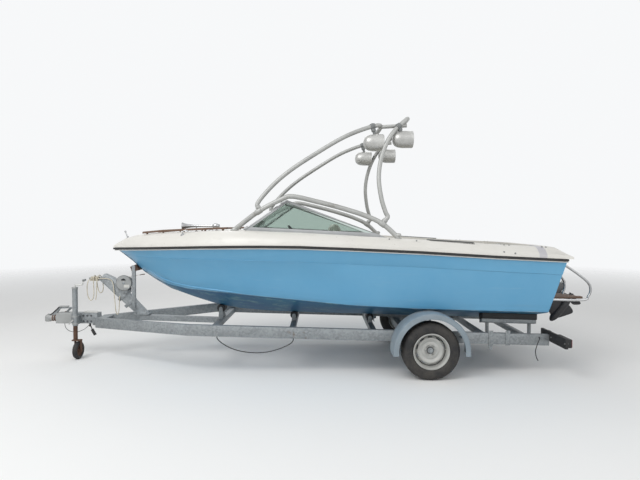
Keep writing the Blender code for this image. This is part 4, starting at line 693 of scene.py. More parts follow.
pods = {
    "middles": {"front": (0.536, 2.409), "rear": (0.233, 2.443)}, "y": 0.600,
    "profile": [(0, -0.092), (0.066, -0.092), (0.070, -0.086), (0.078, -0.086), (0.080, -0.095), (0.084, -0.095),
                (0.088, -0.090), (0.0885, -0.080), (0.088, -0.076), (0.0885, -0.020), (0.088, 0.010), (0.0860, 0.036),
                (0.0815, 0.058), (0.0740, 0.078), (0.0630, 0.094), (0.0490, 0.106), (0.0330, 0.1130),
                (0.0170, 0.1160), (0, 0.117)],
}


def wholeHoop(half):
    return half + [(x, -y, z) for x, y, z in reversed(half[:-1])]


def ringRound(bm, route, place, radius, length, steps=32):
    # a collar round a tube, at the route's point nearest to a place
    i = min(range(len(route)), key=lambda k: (route[k] - place).length)
    along = (route[min(i + 1, len(route) - 1)] - route[max(i - 1, 0)]).normalized()
    half = length / 2
    addTurned(bm, [(radius - 0.006, -half), (radius, -half), (radius, half), (radius - 0.006, half)], route[i], along,
              steps, closed=True)
    return route[i], along


def makeTower():
    hoops = {}
    for side, word in ((1, "port"), (-1, "starboard")):
        route = [at(x, side * y, z) for x, y, z in smoothRoute(towerRoutes["base"], 8)]
        tube = pipe("towerBase_" + word, route, towerTubes["base"], hullBody, "towerPaint", 6)
        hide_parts("tower_base_" + word)
        bm = bmesh.new()
        foot = towerRoutes["base"][0]
        hit, normal = deckAt(foot[0], side * foot[1])
        addTurned(bm, [(0, 0.001), (0.043, 0.001), (0.045, 0.006), (0.043, 0.012), (0.030, 0.016), (0.026, 0.030),
                       (0, 0.030)], hit, normal, 40)
        for k in range(4):
            turn = math.radians(45 + 90 * k)
            spot = hit + Vector((math.cos(turn), math.sin(turn), 0)) * 0.035
            addRod(bm, spot + normal * 0.010, spot + normal * 0.0165, 0.0055, 6)
        rear = towerRoutes["base"][-1]
        hit, normal = deckAt(rear[0], side * rear[1])
        addTurned(bm, [(0, 0.001), (0.034, 0.001), (0.034, 0.007), (0.022, 0.011), (0.019, 0.016), (0.026, 0.024),
                       (0.029, 0.034), (0.026, 0.045), (0.018, 0.053), (0, 0.056)], hit, normal, 40)
        for hoop, start in (("front", 0), ("rear", 0)):
            ringRound(bm, route, at(towerRoutes[hoop][start][0], side * towerRoutes[hoop][start][1],
                                    towerRoutes[hoop][start][2]), 0.031, 0.060)
        finishPiece("towerFeet_" + word, bm, "towerPaint", bevelWidth=0.001)
    for name in ("front", "rear"):
        route = [at(*p) for p in smoothRoute(wholeHoop(towerRoutes[name]), 6)]
        hoops[name] = route
        tube = pipe("towerHoop_" + name, route, towerTubes[name], hullBody, "towerPaint", 6)
        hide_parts("tower_{}_hoop".format(name))
    bm = bmesh.new()
    for side in (1, -1):
        addRod(bm, at(0.458, side * 0.545, 2.585), at(0.190, side * 0.545, 2.600), towerTubes["link"], 24)
    for name, route in hoops.items():
        for side in (1, -1):
            for x, y, z in ((towerRoutes[name][0]), ):
                ringRound(bm, route, at(x, side * y, z + 0.03), 0.0275, 0.022)
    finishPiece("towerLinks", bm, "towerPaint", bevelWidth=0.0015)
    for name, (x, z) in pods["middles"].items():
        for side, word in ((1, "port"), (-1, "starboard")):
            bm = bmesh.new()
            addTurned(bm, pods["profile"], at(x, side * pods["y"], z), (1, 0, 0), 64)
            finishPiece("pod_{}_{}".format(name, word), bm, "podSilver", smoothAngle=40)
            bm = bmesh.new()
            addTurned(bm, [(0, -0.0905), (0.067, -0.0905), (0.067, -0.0935), (0.045, -0.0965), (0, -0.098)],
                      at(x, side * pods["y"], z), (1, 0, 0), 48)
            finishPiece("podMesh_{}_{}".format(name, word), bm, "darkMeshAndShade")
            bm = bmesh.new()
            spot = at(x - 0.02, side * (pods["y"] - 0.02), z + 0.05)
            near, along = ringRound(bm, hoops[name], spot, 0.0300, 0.046)
            ringRound(bm, [near + along * k for k in (-0.02, 0.0, 0.02)], near, 0.0335, 0.012)
            inner = at(x - 0.02, side * pods["y"], z)
            addRod(bm, near, near.lerp(inner, 0.62), 0.015, 20)
            addRod(bm, near.lerp(inner, 0.15) + along * 0.0, near.lerp(inner, 0.32), 0.024, 20)
            finishPiece("podClamp_{}_{}".format(name, word), bm, "greyPlastic", bevelWidth=0.001)
    print("tower built")


makeTower()


# Wheels

wheelSettings = {
    "y": 0.8575, "radius": 0.290, "steps": 96,
    "rimFace": [(0.030, 0.012), (0.040, 0.0125), (0.050, 0.016), (0.062, 0.028), (0.074, 0.028), (0.090, 0.022),
                (0.104, 0.030), (0.118, 0.0365), (0.131, 0.032), (0.143, 0.018), (0.150, 0.007), (0.156, 0.009),
                (0.1595, 0.020), (0.161, 0.052), (0.164, 0.063), (0.170, 0.0705), (0.176, 0.0785), (0.1815, 0.0775)],
    "ventRadii": (0.129, 0.146), "vents": 10, "studCircle": 0.056,
    "tread": [(0.1686, 0.058), (0.1795, 0.0715), (0.188, 0.0785), (0.196, 0.0835), (0.206, 0.0878), (0.2065, 0.0892),
              (0.222, 0.0915), (0.2225, 0.0925), (0.240, 0.0922), (0.256, 0.0885), (0.270, 0.0825), (0.280, 0.0735),
              (0.2860, 0.0620), (0.2885, 0.0470), (0.2887, 0.0440), (0.2820, 0.0425), (0.2820, 0.0375),
              (0.2893, 0.0360), (0.2899, 0.0190), (0.2830, 0.0175), (0.2830, 0.0125), (0.2900, 0.0110)],
}


def makeWheel(side, word):
    centre = at(0, side * wheelSettings["y"], wheelSettings["radius"])
    outward = Vector((0, side, 0))
    body = bodyOf["tyre_" + word]
    steps = wheelSettings["steps"]
    bm = bmesh.new()
    half = wheelSettings["tread"]
    loop = half + [(r, -h) for r, h in reversed(half)]
    loop += [(0.1670, -0.050), (0.1670, 0.050)]
    addTurned(bm, loop, Vector((0, 0, 0)), (0, 0, 1), steps, closed=True)
    bm.faces.ensure_lookup_table()
    # lateral cuts in the tread's shoulders and ribs
    cuts = []
    for face in bm.faces:
        middle = face.calc_center_median()
        reach = math.hypot(middle.x, middle.y)
        turn = math.degrees(math.atan2(middle.y, middle.x)) % 360
        step = int(turn / (360 / steps))
        shoulder = 0.2855 < reach < 0.2892 and abs(middle.z) > 0.045
        rib = reach > 0.2890 and (0.019 < abs(middle.z) < 0.036)
        if shoulder and step % 3 == 0 or rib and step % 4 == 0:
            cuts.append(face)
    inner = bmesh.ops.inset_individual(bm, faces=cuts, thickness=0.0012, depth=0.0)
    bmesh.ops.inset_individual(bm, faces=cuts, thickness=0.0008, depth=-0.0045)
    bmesh.ops.transform(bm, matrix=frameTo(outward, centre), verts=bm.verts)
    finishPiece("tyre_" + word + "_tread", bm, "tyreRubber", body, ("tyre_" + word,), smoothAngle=38)

    bm = bmesh.new()
    addTurned(bm, wheelSettings["rimFace"], Vector((0, 0, 0)), (0, 0, 1), 90)
    low, high = wheelSettings["ventRadii"]
    gone = []
    for face in bm.faces:
        middle = face.calc_center_median()
        reach = math.hypot(middle.x, middle.y)
        turn = (math.degrees(math.atan2(middle.y, middle.x)) + 360) % (360 / wheelSettings["vents"])
        if low < reach < high and 8 < turn < 28:
            gone.append(face)
    bmesh.ops.delete(bm, geom=gone, context="FACES")
    bmesh.ops.recalc_face_normals(bm, faces=bm.faces)
    bmesh.ops.solidify(bm, geom=bm.faces, thickness=-0.0035)
    barrel = [(0.1600, 0.058), (0.1668, 0.0590), (0.1668, -0.0590), (0.1790, -0.0720), (0.1815, -0.0770),
              (0.1760, -0.0780), (0.1640, -0.0640), (0.1600, -0.050)]
    addTurned(bm, barrel, Vector((0, 0, 0)), (0, 0, 1), 90, closed=True)
    for k in range(5):
        turn = math.radians(90 + 72 * k)
        spot = Vector((math.cos(turn), math.sin(turn), 0)) * wheelSettings["studCircle"]
        addRod(bm, spot + Vector((0, 0, 0.016)), spot + Vector((0, 0, 0.036)), 0.0105, 6)
        addRod(bm, spot + Vector((0, 0, 0.036)), spot + Vector((0, 0, 0.043)), 0.0060, 12)
        addTurned(bm, [(0.0, 0.0165), (0.0165, 0.0165), (0.0150, 0.0250), (0.0, 0.0255)], spot, (0, 0, 1), 20)
    addRod(bm, (0.150, 0.012, 0.028), (0.158, 0.012, 0.052), 0.004, 12)
    bmesh.ops.transform(bm, matrix=frameTo(outward, centre), verts=bm.verts)
    finishPiece("rim_" + word + "_face", bm, "wheelPaint", body, ("rim_" + word,), smoothAngle=40)

    bm = bmesh.new()
    addTurned(bm, [(0, 0.006), (0.0300, 0.006), (0.0300, 0.030), (0.0275, 0.0345), (0.0180, 0.0380), (0.0165, 0.0365),
                   (0, 0.0365)], centre, outward, 48)
    finishPiece("hubCap_" + word, bm, "galvanised", body)
    # painted shade: dark rings laid in the gaps between hub, disc and flange, where shadow falls
    bm = bmesh.new()
    for inner, outer, height in ((0.0302, 0.0365, 0.0185), (0.1465, 0.1575, 0.0150)):
        addTurned(bm, [(inner, height - 0.002), (outer, height - 0.002), (outer, height), (inner, height)], centre,
                  outward, 72, closed=True)
    finishPiece("rimGrooves_" + word, bm, "darkMeshAndShade", body)


for side, word in ((1, "port"), (-1, "starboard")):
    makeWheel(side, word)
print("wheels built")


# Mudguards

fenderSettings = {"radius": 0.385, "outerY": 0.980, "innerY": 0.757, "sheet": 0.006, "from": -6, "to": 186}


def makeFender(side, word):
    s = fenderSettings
    outer, inner, top = s["outerY"], s["innerY"], s["radius"]
    profile = [
        # radius, y
        (top - 0.006, inner), (top, inner), (top, outer - 0.020), (top - 0.003, outer - 0.008),
        (top - 0.010, outer - 0.001), (top - 0.020, outer), (top - 0.052, outer), (top - 0.056, outer - 0.003),
        (top - 0.055, outer - 0.007), (top - 0.050, outer - 0.006), (top - 0.020, outer - 0.006),
        (top - 0.012, outer - 0.010), (top - 0.007, outer - 0.018),
    ]
    bm = bmesh.new()
    verts = [bm.verts.new((r, y, 0)) for r, y in profile]
    edges = [bm.edges.new((verts[i - 1], verts[i])) for i in range(len(verts))]
    first = bm.faces.new(verts)
    made = bmesh.ops.spin(bm, geom=[first], cent=(0, 0, 0), axis=(0, 1, 0), steps=72, use_duplicate=False,
                          angle=-math.radians(s["to"] - s["from"]))
    bmesh.ops.rotate(bm, verts=bm.verts, cent=(0, 0, 0), matrix=Matrix.Rotation(math.radians(-s["from"]), 3, "Y"))
    bmesh.ops.translate(bm, verts=bm.verts, vec=at(0, 0, wheelSettings["radius"]))
    reach = top - s["sheet"] / 2
    for way in (1, -1):
        x = sorted((way * (reach - 0.052), way * (reach - 0.014)))
        addBox(bm, at(x[0], 0.7203, 0.392), at(x[1], inner + 0.040, 0.400))
    for angle in (35, 90, 145):
        turn = math.radians(angle)
        out = Vector((math.cos(turn), 0, math.sin(turn)))
        spot = at(0, inner + 0.030, wheelSettings["radius"]) + out * (top - 0.001)
        addRod(bm, spot, spot + out * 0.006, 0.009, 12)
    if side < 0:
        bmesh.ops.scale(bm, vec=(1, -1, 1), verts=bm.verts)
    finishPiece("mudguard_" + word, bm, "fenderPlastic", replaced=("fender_" + word,), smoothAngle=32)


for side, word in ((1, "port"), (-1, "starboard")):
    makeFender(side, word)
print("mudguards built")

# Deck trim and fittings

sheerLine = [  # x, half width and height of the sheer
    (-1.3452, 0.925, 1.2115), (-0.600, 0.955, 1.2490), (0.100, 0.975, 1.2922), (0.800, 0.980, 1.3250),
    (1.300, 0.970, 1.3430), (1.700, 0.925, 1.3450), (2.050, 0.850, 1.3400), (2.320, 0.760, 1.3330),
    (2.580, 0.650, 1.3240), (2.830, 0.515, 1.3140), (3.020, 0.395, 1.3060), (3.180, 0.285, 1.3000),
    (3.320, 0.180, 1.2940), (3.430, 0.105, 1.2900), (3.500, 0.055, 1.2870),
]
trimSettings = {"beadRadius": 0.0065, "beadDrop": 0.0305, "ventX": (-0.440, 0.010), "ventY": (0.800, 0.885)}


def makeTrim():
    s = trimSettings
    line = [(x, y + 0.003, z - s["beadDrop"]) for x, y, z in sheerLine]
    line += [(x, -y, z) for x, y, z in reversed(line)]
    pipe("sheerBead", [at(*p) for p in line], s["beadRadius"], hullBody, "whiteTrim", 3)
    low, high = s["ventX"]
    for side, word in ((1, "port"), (-1, "starboard")):
        inner, outer = s["ventY"]
        bm = bmesh.new()
        count = 15
        for k in range(count):
            x = low + 0.015 + (high - low - 0.03) * k / (count - 1)
            hit = 1.352 + (x - low) * 0.045
            lean = Matrix.Translation(at(x, 0, hit)) @ Matrix.Rotation(math.radians(35), 4, "Y")
            box = addBox(bm, (-0.012, side * 0.8425 - 0.041, -0.0012), (0.012, side * 0.8425 + 0.041, 0.0012))
            bmesh.ops.transform(bm, matrix=lean, verts=box)
        addBox(bm, at(low + 0.001, min(side * 0.801, side * 0.884), 1.3355),
               at(high - 0.001, max(side * 0.801, side * 0.884), 1.3385))
        finishPiece("ventFins_" + word, bm, "darkMeshAndShade")
        bm = bmesh.new()
        places = []
        for k in range(9):
            x = low - 0.012 + (high - low + 0.024) * k / 8
            hit, normal = deckAt(x, side * (inner - 0.012))
            places.append((hit, normal))
        rings = []
        for hit, normal in places:
            across = Vector((0, side, 0))
            ring = []
            for out, up in ((-0.012, -0.002), (-0.012, 0.006), (0.004, 0.011), (0.020, 0.009), (0.022, 0.004),
                            (0.004, 0.004)):
                ring.append(bm.verts.new(hit + across * out + Vector((0, 0, up))))
            rings.append(ring)
        for a, b in zip(rings, rings[1:]):
            for k in range(len(a)):
                bm.faces.new((a[k - 1], a[k], b[k], b[k - 1]))
        bm.faces.new(rings[0])
        bm.faces.new(rings[-1])
        finishPiece("ventHood_" + word, bm, "greyPlastic", bevelWidth=0.001)

    # pole light base on the stem head
    hit, normal = deckAt(3.370, 0)
    bm = bmesh.new()
    addTurned(bm, [(0, 0), (0.024, 0), (0.024, 0.004), (0.012, 0.010), (0.0095, 0.030), (0, 0.030)], hit,
              (0, 0, 1), 32)
    addTurned(bm, [(0, 0.020), (0.0075, 0.020), (0.0070, 0.078), (0.011, 0.080), (0.012, 0.092), (0.007, 0.098),
                   (0, 0.099)], hit, (0.34, 0, 0.94), 24)
    finishPiece("bowStaff", bm, "chrome")
    # a bent hook on each side of the foredeck
    for side, word in ((1, "port"), (-1, "starboard")):
        hit, normal = deckAt(2.560, side * 0.590)
        bm = bmesh.new()
        addTurned(bm, [(0, -0.003), (0.022, -0.003), (0.022, 0.003), (0.012, 0.007), (0, 0.008)], hit, normal, 32)
        finishPiece("hookFoot_" + word, bm, "chrome")
        bend = [(0, 0, 0.002), (0, 0, 0.016), (-0.006, 0, 0.030), (-0.020, 0, 0.042), (-0.038, 0, 0.046),
                (-0.054, 0, 0.042), (-0.062, 0, 0.034)]
        pipe("deckHook_" + word, [hit + Vector(p) for p in smoothRoute(bend, 5)], 0.0062, hullBody,
             "chrome", 4)
    # press studs for the cover, along the side decks
    bm = bmesh.new()
    for side in (1, -1):
        for x, y in ((-0.738, .850), (-0.787, .850), (-1.120, .845), (-1.160, .845), (-0.700, .955), (-0.810, .955),
                     (0.150, .905), (0.420, .905)):
            hit, normal = deckAt(x, side * y)
            if hit is not None:
                addTurned(bm, [(0, 0.0), (0.0085, 0.0), (0.0085, 0.0025), (0.0060, 0.0055), (0, 0.006)], hit, normal, 20)
    finishPiece("coverStuds", bm, "greyPlastic")
    print("deck trim built")


makeTrim()


# Trumpet horn

hornSettings = {
    "x": 2.215, "y": 0.360, "steps": 56,
    "profile": [(0, 0), (0.016, 0.0005), (0.0215, 0.003), (0.0225, 0.010), (0.0300, 0.022), (0.0320, 0.040),
                (0.0270, 0.058), (0.0160, 0.072), (0.0125, 0.090), (0.0128, 0.200), (0.0150, 0.260), (0.0190, 0.310),
                (0.0245, 0.350),
                (0.0305, 0.380), (0.0400, 0.402), (0.0425, 0.4075), (0.0415, 0.4095), (0.0385, 0.4040),
                (0.0280, 0.386), (0.0190, 0.362), (0.010, 0.330), (0, 0.325)],
}


def makeHorn():
    s = hornSettings
    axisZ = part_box("horn")[1].z - 0.042
    bm = bmesh.new()
    addTurned(bm, s["profile"], at(s["x"], s["y"], axisZ), (1, 0, 0), s["steps"])
    for x in (2.245, 2.470):
        hit, normal = deckAt(x, s["y"])
        addRod(bm, hit - Vector((0, 0, 0.001)), (hit.x, hit.y, axisZ), 0.0065, 16)
        addTurned(bm, [(0, 0), (0.020, 0), (0.020, 0.003), (0.010, 0.007), (0, 0.007)], hit, normal, 24)
        addTurned(bm, [(0.0105, -0.008), (0.0145, -0.008), (0.0145, 0.008), (0.0105, 0.008)],
                  (hit.x, hit.y, axisZ), (1, 0, 0), 24, closed=True)
    finishPiece("trumpetHorn", bm, "chrome", replaced=("horn",), smoothAngle=50)
    print("horn built")


makeHorn()


# Swim platforms

platformSettings = {
    "loop": [(-1.300, 1.195), (-1.474, 1.122), (-1.690, 0.968), (-1.742, 0.881), (-1.722, 0.800),
             (-1.650, 0.757), (-1.200, 0.768)],
    "outerY": 0.620, "innerY": 0.300, "tube": 0.0125, "rootX": -1.250, "innerShare": 0.78, "slats": 4,
    "slatWidth": 0.058, "slatZ": (0.768, 0.790),
}


def transomX(z):
    return -1.216 - (z - 0.6517) * math.tan(math.radians(13))


def makePlatform(side, word):
    s = platformSettings
    for name, y, share in (("outer", s["outerY"], 1.0), ("inner", s["innerY"], s["innerShare"])):
        route = [(s["rootX"] + (x - s["rootX"]) * share, side * y, z) for x, z in s["loop"]]
        tube = pipe("platformTube_{}_{}".format(name, word), [at(*p) for p in smoothRoute(route, 8)], s["tube"],
                    hullBody, "chrome", 5)
        if name == "outer":
            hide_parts("swim_platform_" + word)
        bm = bmesh.new()
        for x, z, dx, dz in ((route[0][0], route[0][2], -0.17, -0.07), (route[-1][0], route[-1][2], -0.45, -0.011)):
            # a flange where the tube meets the transom
            foot = Vector((transomX(z) + axleX, side * y, z))
            foot.z = z + (transomX(z) - x) * dz / dx
            addTurned(bm, [(0, 0.0005), (0.027, 0.0005), (0.027, 0.004), (0.018, 0.010), (0, 0.010)], foot,
                      (-math.cos(math.radians(13)), 0, -math.sin(math.radians(13))), 32)
        finishPiece("platformFlange_{}_{}".format(name, word), bm, "chrome")
    bm = bmesh.new()
    for x in (-1.330, -1.540):
        addRod(bm, at(x, side * (s["innerY"] - 0.004), 0.762), at(x, side * (s["outerY"] + 0.004), 0.762), 0.0115, 20)
    finishPiece("platformBars_" + word, bm, "chrome")
    low, high = s["slatZ"]
    pitch = (s["outerY"] - s["innerY"] - 0.060 - s["slatWidth"]) / (s["slats"] - 1)
    for k in range(s["slats"]):
        y = s["innerY"] + 0.030 + k * pitch
        aft = -1.570 - 0.110 * k / (s["slats"] - 1)
        ends = sorted((side * y, side * (y + s["slatWidth"])))
        bm = bmesh.new()
        addBox(bm, at(aft, ends[0], low), at(-1.290, ends[1], high))
        finishPiece("platformSlat_{}_{}".format(word, k + 1), bm, "teakWood", bevelWidth=0.004, segments=3)
        bm = bmesh.new()
        for x in (-1.330, -1.540):
            spot = at(x, side * (y + s["slatWidth"] / 2), high)
            addRod(bm, spot - Vector((0, 0, 0.004)), spot + Vector((0, 0, 0.0012)), 0.0055, 16)
        finishPiece("slatScrews_{}_{}".format(word, k + 1), bm, "chrome")


for side, word in ((1, "port"), (-1, "starboard")):
    makePlatform(side, word)
print("swim platforms built")


# Stern drive, in its own lines: back along the propeller shaft, out to port, up the leg

driveSettings = {"pivot": (-1.420, 0.0, 0.800), "tilt": 50.0, "half": 0.070, "shaftDown": 0.400}
legBody = bodyOf["drive_leg"]


def driveMatrix(down=0.0, back=0.0):
    c, s = math.cos(math.radians(driveSettings["tilt"])), math.sin(math.radians(driveSettings["tilt"]))
    px, py, pz = driveSettings["pivot"]
    turn = Matrix(((-c, 0, s), (0, 1, 0), (s, 0, c))).to_4x4()
    place = at(px - s * down - c * back, py, pz - c * down + s * back)
    return Matrix.Translation(place) @ turn


def legSlab(bm, outline, half):
    # (down, back) pairs, as thick as twice the half
    verts = addSlab(bm, [(back, -down) for down, back in outline], -half, half)
    return verts


def makeDrive():
    bm = bmesh.new()
    legSlab(bm, [(-0.040, -0.022), (-0.085, 0.020), (-0.075, 0.110), (0.050, 0.150), (0.200, 0.125), (0.215, -0.050),
                 (0.185, -0.060), (0.160, -0.024), (0.040, -0.022)], driveSettings["half"])
    bmesh.ops.transform(bm, matrix=driveMatrix(), verts=bm.verts)
    finishPiece("driveHousing", bm, "driveBlack", legBody, ("drive_leg",), bevelWidth=0.014, segments=4)
    bm = bmesh.new()
    rings = []
    for down, front, rear, half in ((0.190, 0.062, 0.125, 0.045), (0.225, 0.070, 0.123, 0.039),
                                    (0.260, 0.080, 0.120, 0.034), (0.330, 0.098, 0.114, 0.027),
                                    (0.395, 0.115, 0.110, 0.023)):
        ring = []
        for k in range(20):
            turn = 2 * math.pi * k / 20
            reach = front if math.cos(turn) < 0 else rear
            ring.append(bm.verts.new((math.cos(turn) * reach, math.sin(turn) * half * abs(math.sin(turn)) ** 0.15,
                                      -down)))
        rings.append(ring)
    for a, b in zip(rings, rings[1:]):
        for k in range(20):
            bm.faces.new((a[k - 1], a[k], b[k], b[k - 1]))
    bm.faces.new(rings[0])
    bm.faces.new(rings[-1])
    bmesh.ops.transform(bm, matrix=driveMatrix(), verts=bm.verts)
    finishPiece("driveStrut", bm, "driveBlack", legBody, smoothAngle=40)
    bm = bmesh.new()
    side = [(-0.100, 0.030), (-0.060, 0.066), (-0.010, 0.100), (0.060, 0.110), (0.200, 0.115), (0.240, 0.100),
            (0.262, 0.080), (0.270, 0.045), (0.272, 0.0)]
    edge = side + [(back, -y) for back, y in reversed(side[:-1])]
    addSlab(bm, edge, -0.2235, -0.2115, "Z")
    legSlab(bm, [(0.430, -0.112), (0.430, 0.118), (0.475, 0.116), (0.515, 0.104), (0.535, 0.092), (0.541, 0.070),
                 (0.520, 0.030), (0.470, -0.050)], 0.0062)
    bmesh.ops.transform(bm, matrix=driveMatrix(), verts=bm.verts)
    finishPiece("drivePlates", bm, "driveBlack", legBody, bevelWidth=0.0035, segments=3)
    bm = bmesh.new()
    addTurned(bm, [(0, -0.166), (0.010, -0.163), (0.022, -0.152), (0.033, -0.132), (0.0415, -0.106), (0.047, -0.072),
                   (0.0495, -0.036), (0.0503, 0.010), (0.0500, 0.060), (0.0475, 0.095), (0.0440, 0.122),
                   (0.0380, 0.147), (0, 0.1478)], (0, 0, -driveSettings["shaftDown"]), (1, 0, 0), 48)
    bmesh.ops.transform(bm, matrix=driveMatrix(), verts=bm.verts)
    finishPiece("driveTorpedo", bm, "driveBlack", legBody, smoothAngle=50)
    bm = bmesh.new()
    legSlab(bm, [(0.222, 0.188), (0.222, 0.250), (0.201, 0.263), (0.196, 0.300), (0.214, 0.309), (0.232, 0.310),
                 (0.262, 0.272), (0.250, 0.215)], 0.0095)
    bmesh.ops.transform(bm, matrix=driveMatrix(), verts=bm.verts)
    finishPiece("zincTab", bm, "zinc", legBody, bevelWidth=0.003, segments=3)
    bm = bmesh.new()
    for lateral in (1, -1):
        for down, back in ((-0.045, 0.100), (0.010, 0.120), (0.150, 0.105), (0.185, 0.000), (0.100, 0.010)):
            start = Vector((back, lateral * 0.0695, -down))
            addRod(bm, start, start + Vector((0, lateral * 0.006, 0)), 0.009, 6)
        start = Vector((0, lateral * 0.070, 0))
        addRod(bm, start, start + Vector((0, lateral * 0.003, 0)), 0.026, 32)
    bmesh.ops.transform(bm, matrix=driveMatrix(), verts=bm.verts)
    finishPiece("driveBolts", bm, "driveBlack", legBody, bevelWidth=0.001)


makeDrive()

screwSettings = {
    "blades": 3, "hubBack": 0.1485, "thickness": 0.008,
    # distance out, chord, pitch in degrees, sweep back round the hub in degrees
    "sections": [(0.030, 0.058, 56, 0), (0.050, 0.080, 49, 1), (0.072, 0.097, 42, 2), (0.095, 0.107, 36, 4),
                 (0.116, 0.107, 32, 7), (0.133, 0.090, 29, 10), (0.144, 0.060, 27, 13), (0.1485, 0.026, 26, 15)],
}


def makeScrew():
    s = screwSettings
    bm = bmesh.new()
    addTurned(bm, [(0, 0), (0.034, 0), (0.0365, 0.004), (0.0385, 0.050), (0.0375, 0.075), (0.0345, 0.090),
                   (0.030, 0.0925), (0.029, 0.086), (0, 0.086)], (0, 0, 0), (1, 0, 0), 48)
    addTurned(bm, [(0, 0.080), (0.012, 0.080), (0.012, 0.096), (0.0075, 0.101), (0, 0.101)], (0, 0, 0), (1, 0, 0), 24)
    for k in range(s["blades"]):
        base = 2 * math.pi * k / s["blades"] + math.radians(90)
        rings = []
        for reach, chord, pitch, sweep in s["sections"]:
            turn = base + math.radians(sweep)
            out = Vector((0, math.cos(turn), -math.sin(turn)))
            around = Vector((1, 0, 0)).cross(out)
            twist = math.radians(pitch)
            along = around * math.cos(twist) + Vector((1, 0, 0)) * math.sin(twist)
            thin = Vector((1, 0, 0)) * math.cos(twist) - around * math.sin(twist)
            middle = Vector((0.045, 0, 0)) + out * reach
            deep = s["thickness"] * (1.05 - reach / 0.16)
            ring = []
            for across, lift in ((0.5, 0.0), (0.32, 0.42), (0.0, 0.62), (-0.32, 0.42), (-0.5, 0.0), (-0.32, -0.28),
                                 (0.0, -0.38), (0.32, -0.28)):
                ring.append(bm.verts.new(middle + along * chord * across + thin * deep * lift))
            rings.append(ring)
        for a, b in zip(rings, rings[1:]):
            for j in range(8):
                bm.faces.new((a[j - 1], a[j], b[j], b[j - 1]))
        bm.faces.new(rings[0])
        bm.faces.new(rings[-1])
    bmesh.ops.transform(bm, matrix=driveMatrix(driveSettings["shaftDown"], s["hubBack"]), verts=bm.verts)
    finishPiece("screwBlades", bm, "driveBlack", bodyOf["propeller"], ("propeller",), smoothAngle=50)


makeScrew()
print("stern drive built")


# Seats

seatSettings = {
    "y": (0.130, 0.640), "voxel": 0.007, "pressure": 4.0, "cap": 0.012, "channels": 5, "channelDepth": 0.005,
    # name: outline of x, z pairs
    "pads": {
        "aft": [(0.492, 1.058), (0.487, 1.120), (0.505, 1.146), (0.600, 1.150), (0.780, 1.143), (0.838, 1.138),
                (0.842, 1.058)],
        "fore": [(1.062, 1.058), (1.064, 1.140), (1.110, 1.148), (1.260, 1.158), (1.362, 1.163), (1.388, 1.140),
                 (1.391, 1.100), (1.384, 1.058)],
        "back": [(0.862, 1.150), (0.880, 1.300), (0.897, 1.500), (0.914, 1.552), (0.945, 1.568), (0.976, 1.552),
                 (0.993, 1.500), (1.012, 1.300), (1.032, 1.150)],
    },
}


def makePad(name, outline):
    s = seatSettings
    bm = bmesh.new()
    addSlab(bm, xShift(outline), s["y"][0] + 0.010, s["y"][1] - 0.010)
    bmesh.ops.recalc_face_normals(bm, faces=bm.faces)
    bmesh.ops.bevel(bm, geom=list(bm.edges), offset=0.014, offset_type="OFFSET", segments=3, profile=0.5,
                    affect="EDGES", material=-1)
    mesh = bpy.data.meshes.new(name)
    bm.to_mesh(mesh)
    bm.free()
    pad = bpy.data.objects.new(name, mesh)
    scene.collection.objects.link(pad)
    remesh = pad.modifiers.new("remesh", "REMESH")
    remesh.mode = "VOXEL"
    remesh.voxel_size = s["voxel"]
    graph = bpy.context.evaluated_depsgraph_get()
    base = bpy.data.meshes.new_from_object(pad.evaluated_get(graph))
    pad.modifiers.clear()
    pad.data = base
    start = [v.co.copy() for v in base.vertices]
    cloth = pad.modifiers.new("cloth", "CLOTH")
    cloth.settings.use_pressure = True
    cloth.settings.uniform_pressure_force = s["pressure"]
    cloth.settings.effector_weights.gravity = 0
    cloth.settings.tension_stiffness = 15
    cloth.point_cache.frame_start, cloth.point_cache.frame_end = 1, 20
    for frameNumber in range(1, 21):
        scene.frame_set(frameNumber)
    graph = bpy.context.evaluated_depsgraph_get()
    swollen = bpy.data.meshes.new_from_object(pad.evaluated_get(graph))
    pad.modifiers.clear()
    pad.data = swollen
    scene.frame_set(1)
    low, high = s["y"]
    for vert, was in zip(pad.data.vertices, start):
        move = vert.co - was
        if move.length > s["cap"]:
            vert.co = was + move.normalized() * s["cap"]
    # sewn channels run fore and aft on a seat and up a back
    bm = bmesh.new()
    bm.from_mesh(pad.data)
    bmesh.ops.recalc_face_normals(bm, faces=bm.faces)
    bm.normal_update()
    for vert in bm.verts:
        share = (vert.co.y - low) / (high - low) * (s["channels"] + 1)
        near = abs(share - round(share))
        if 0.5 < share < s["channels"] + 0.5 and near < 0.09:
            facing = abs(vert.normal.x) if name == "back" else max(vert.normal.z, 0)
            if abs(vert.normal.y) < 0.7:
                vert.co -= vert.normal * s["channelDepth"] * (1 - near / 0.09) * facing
    return bm


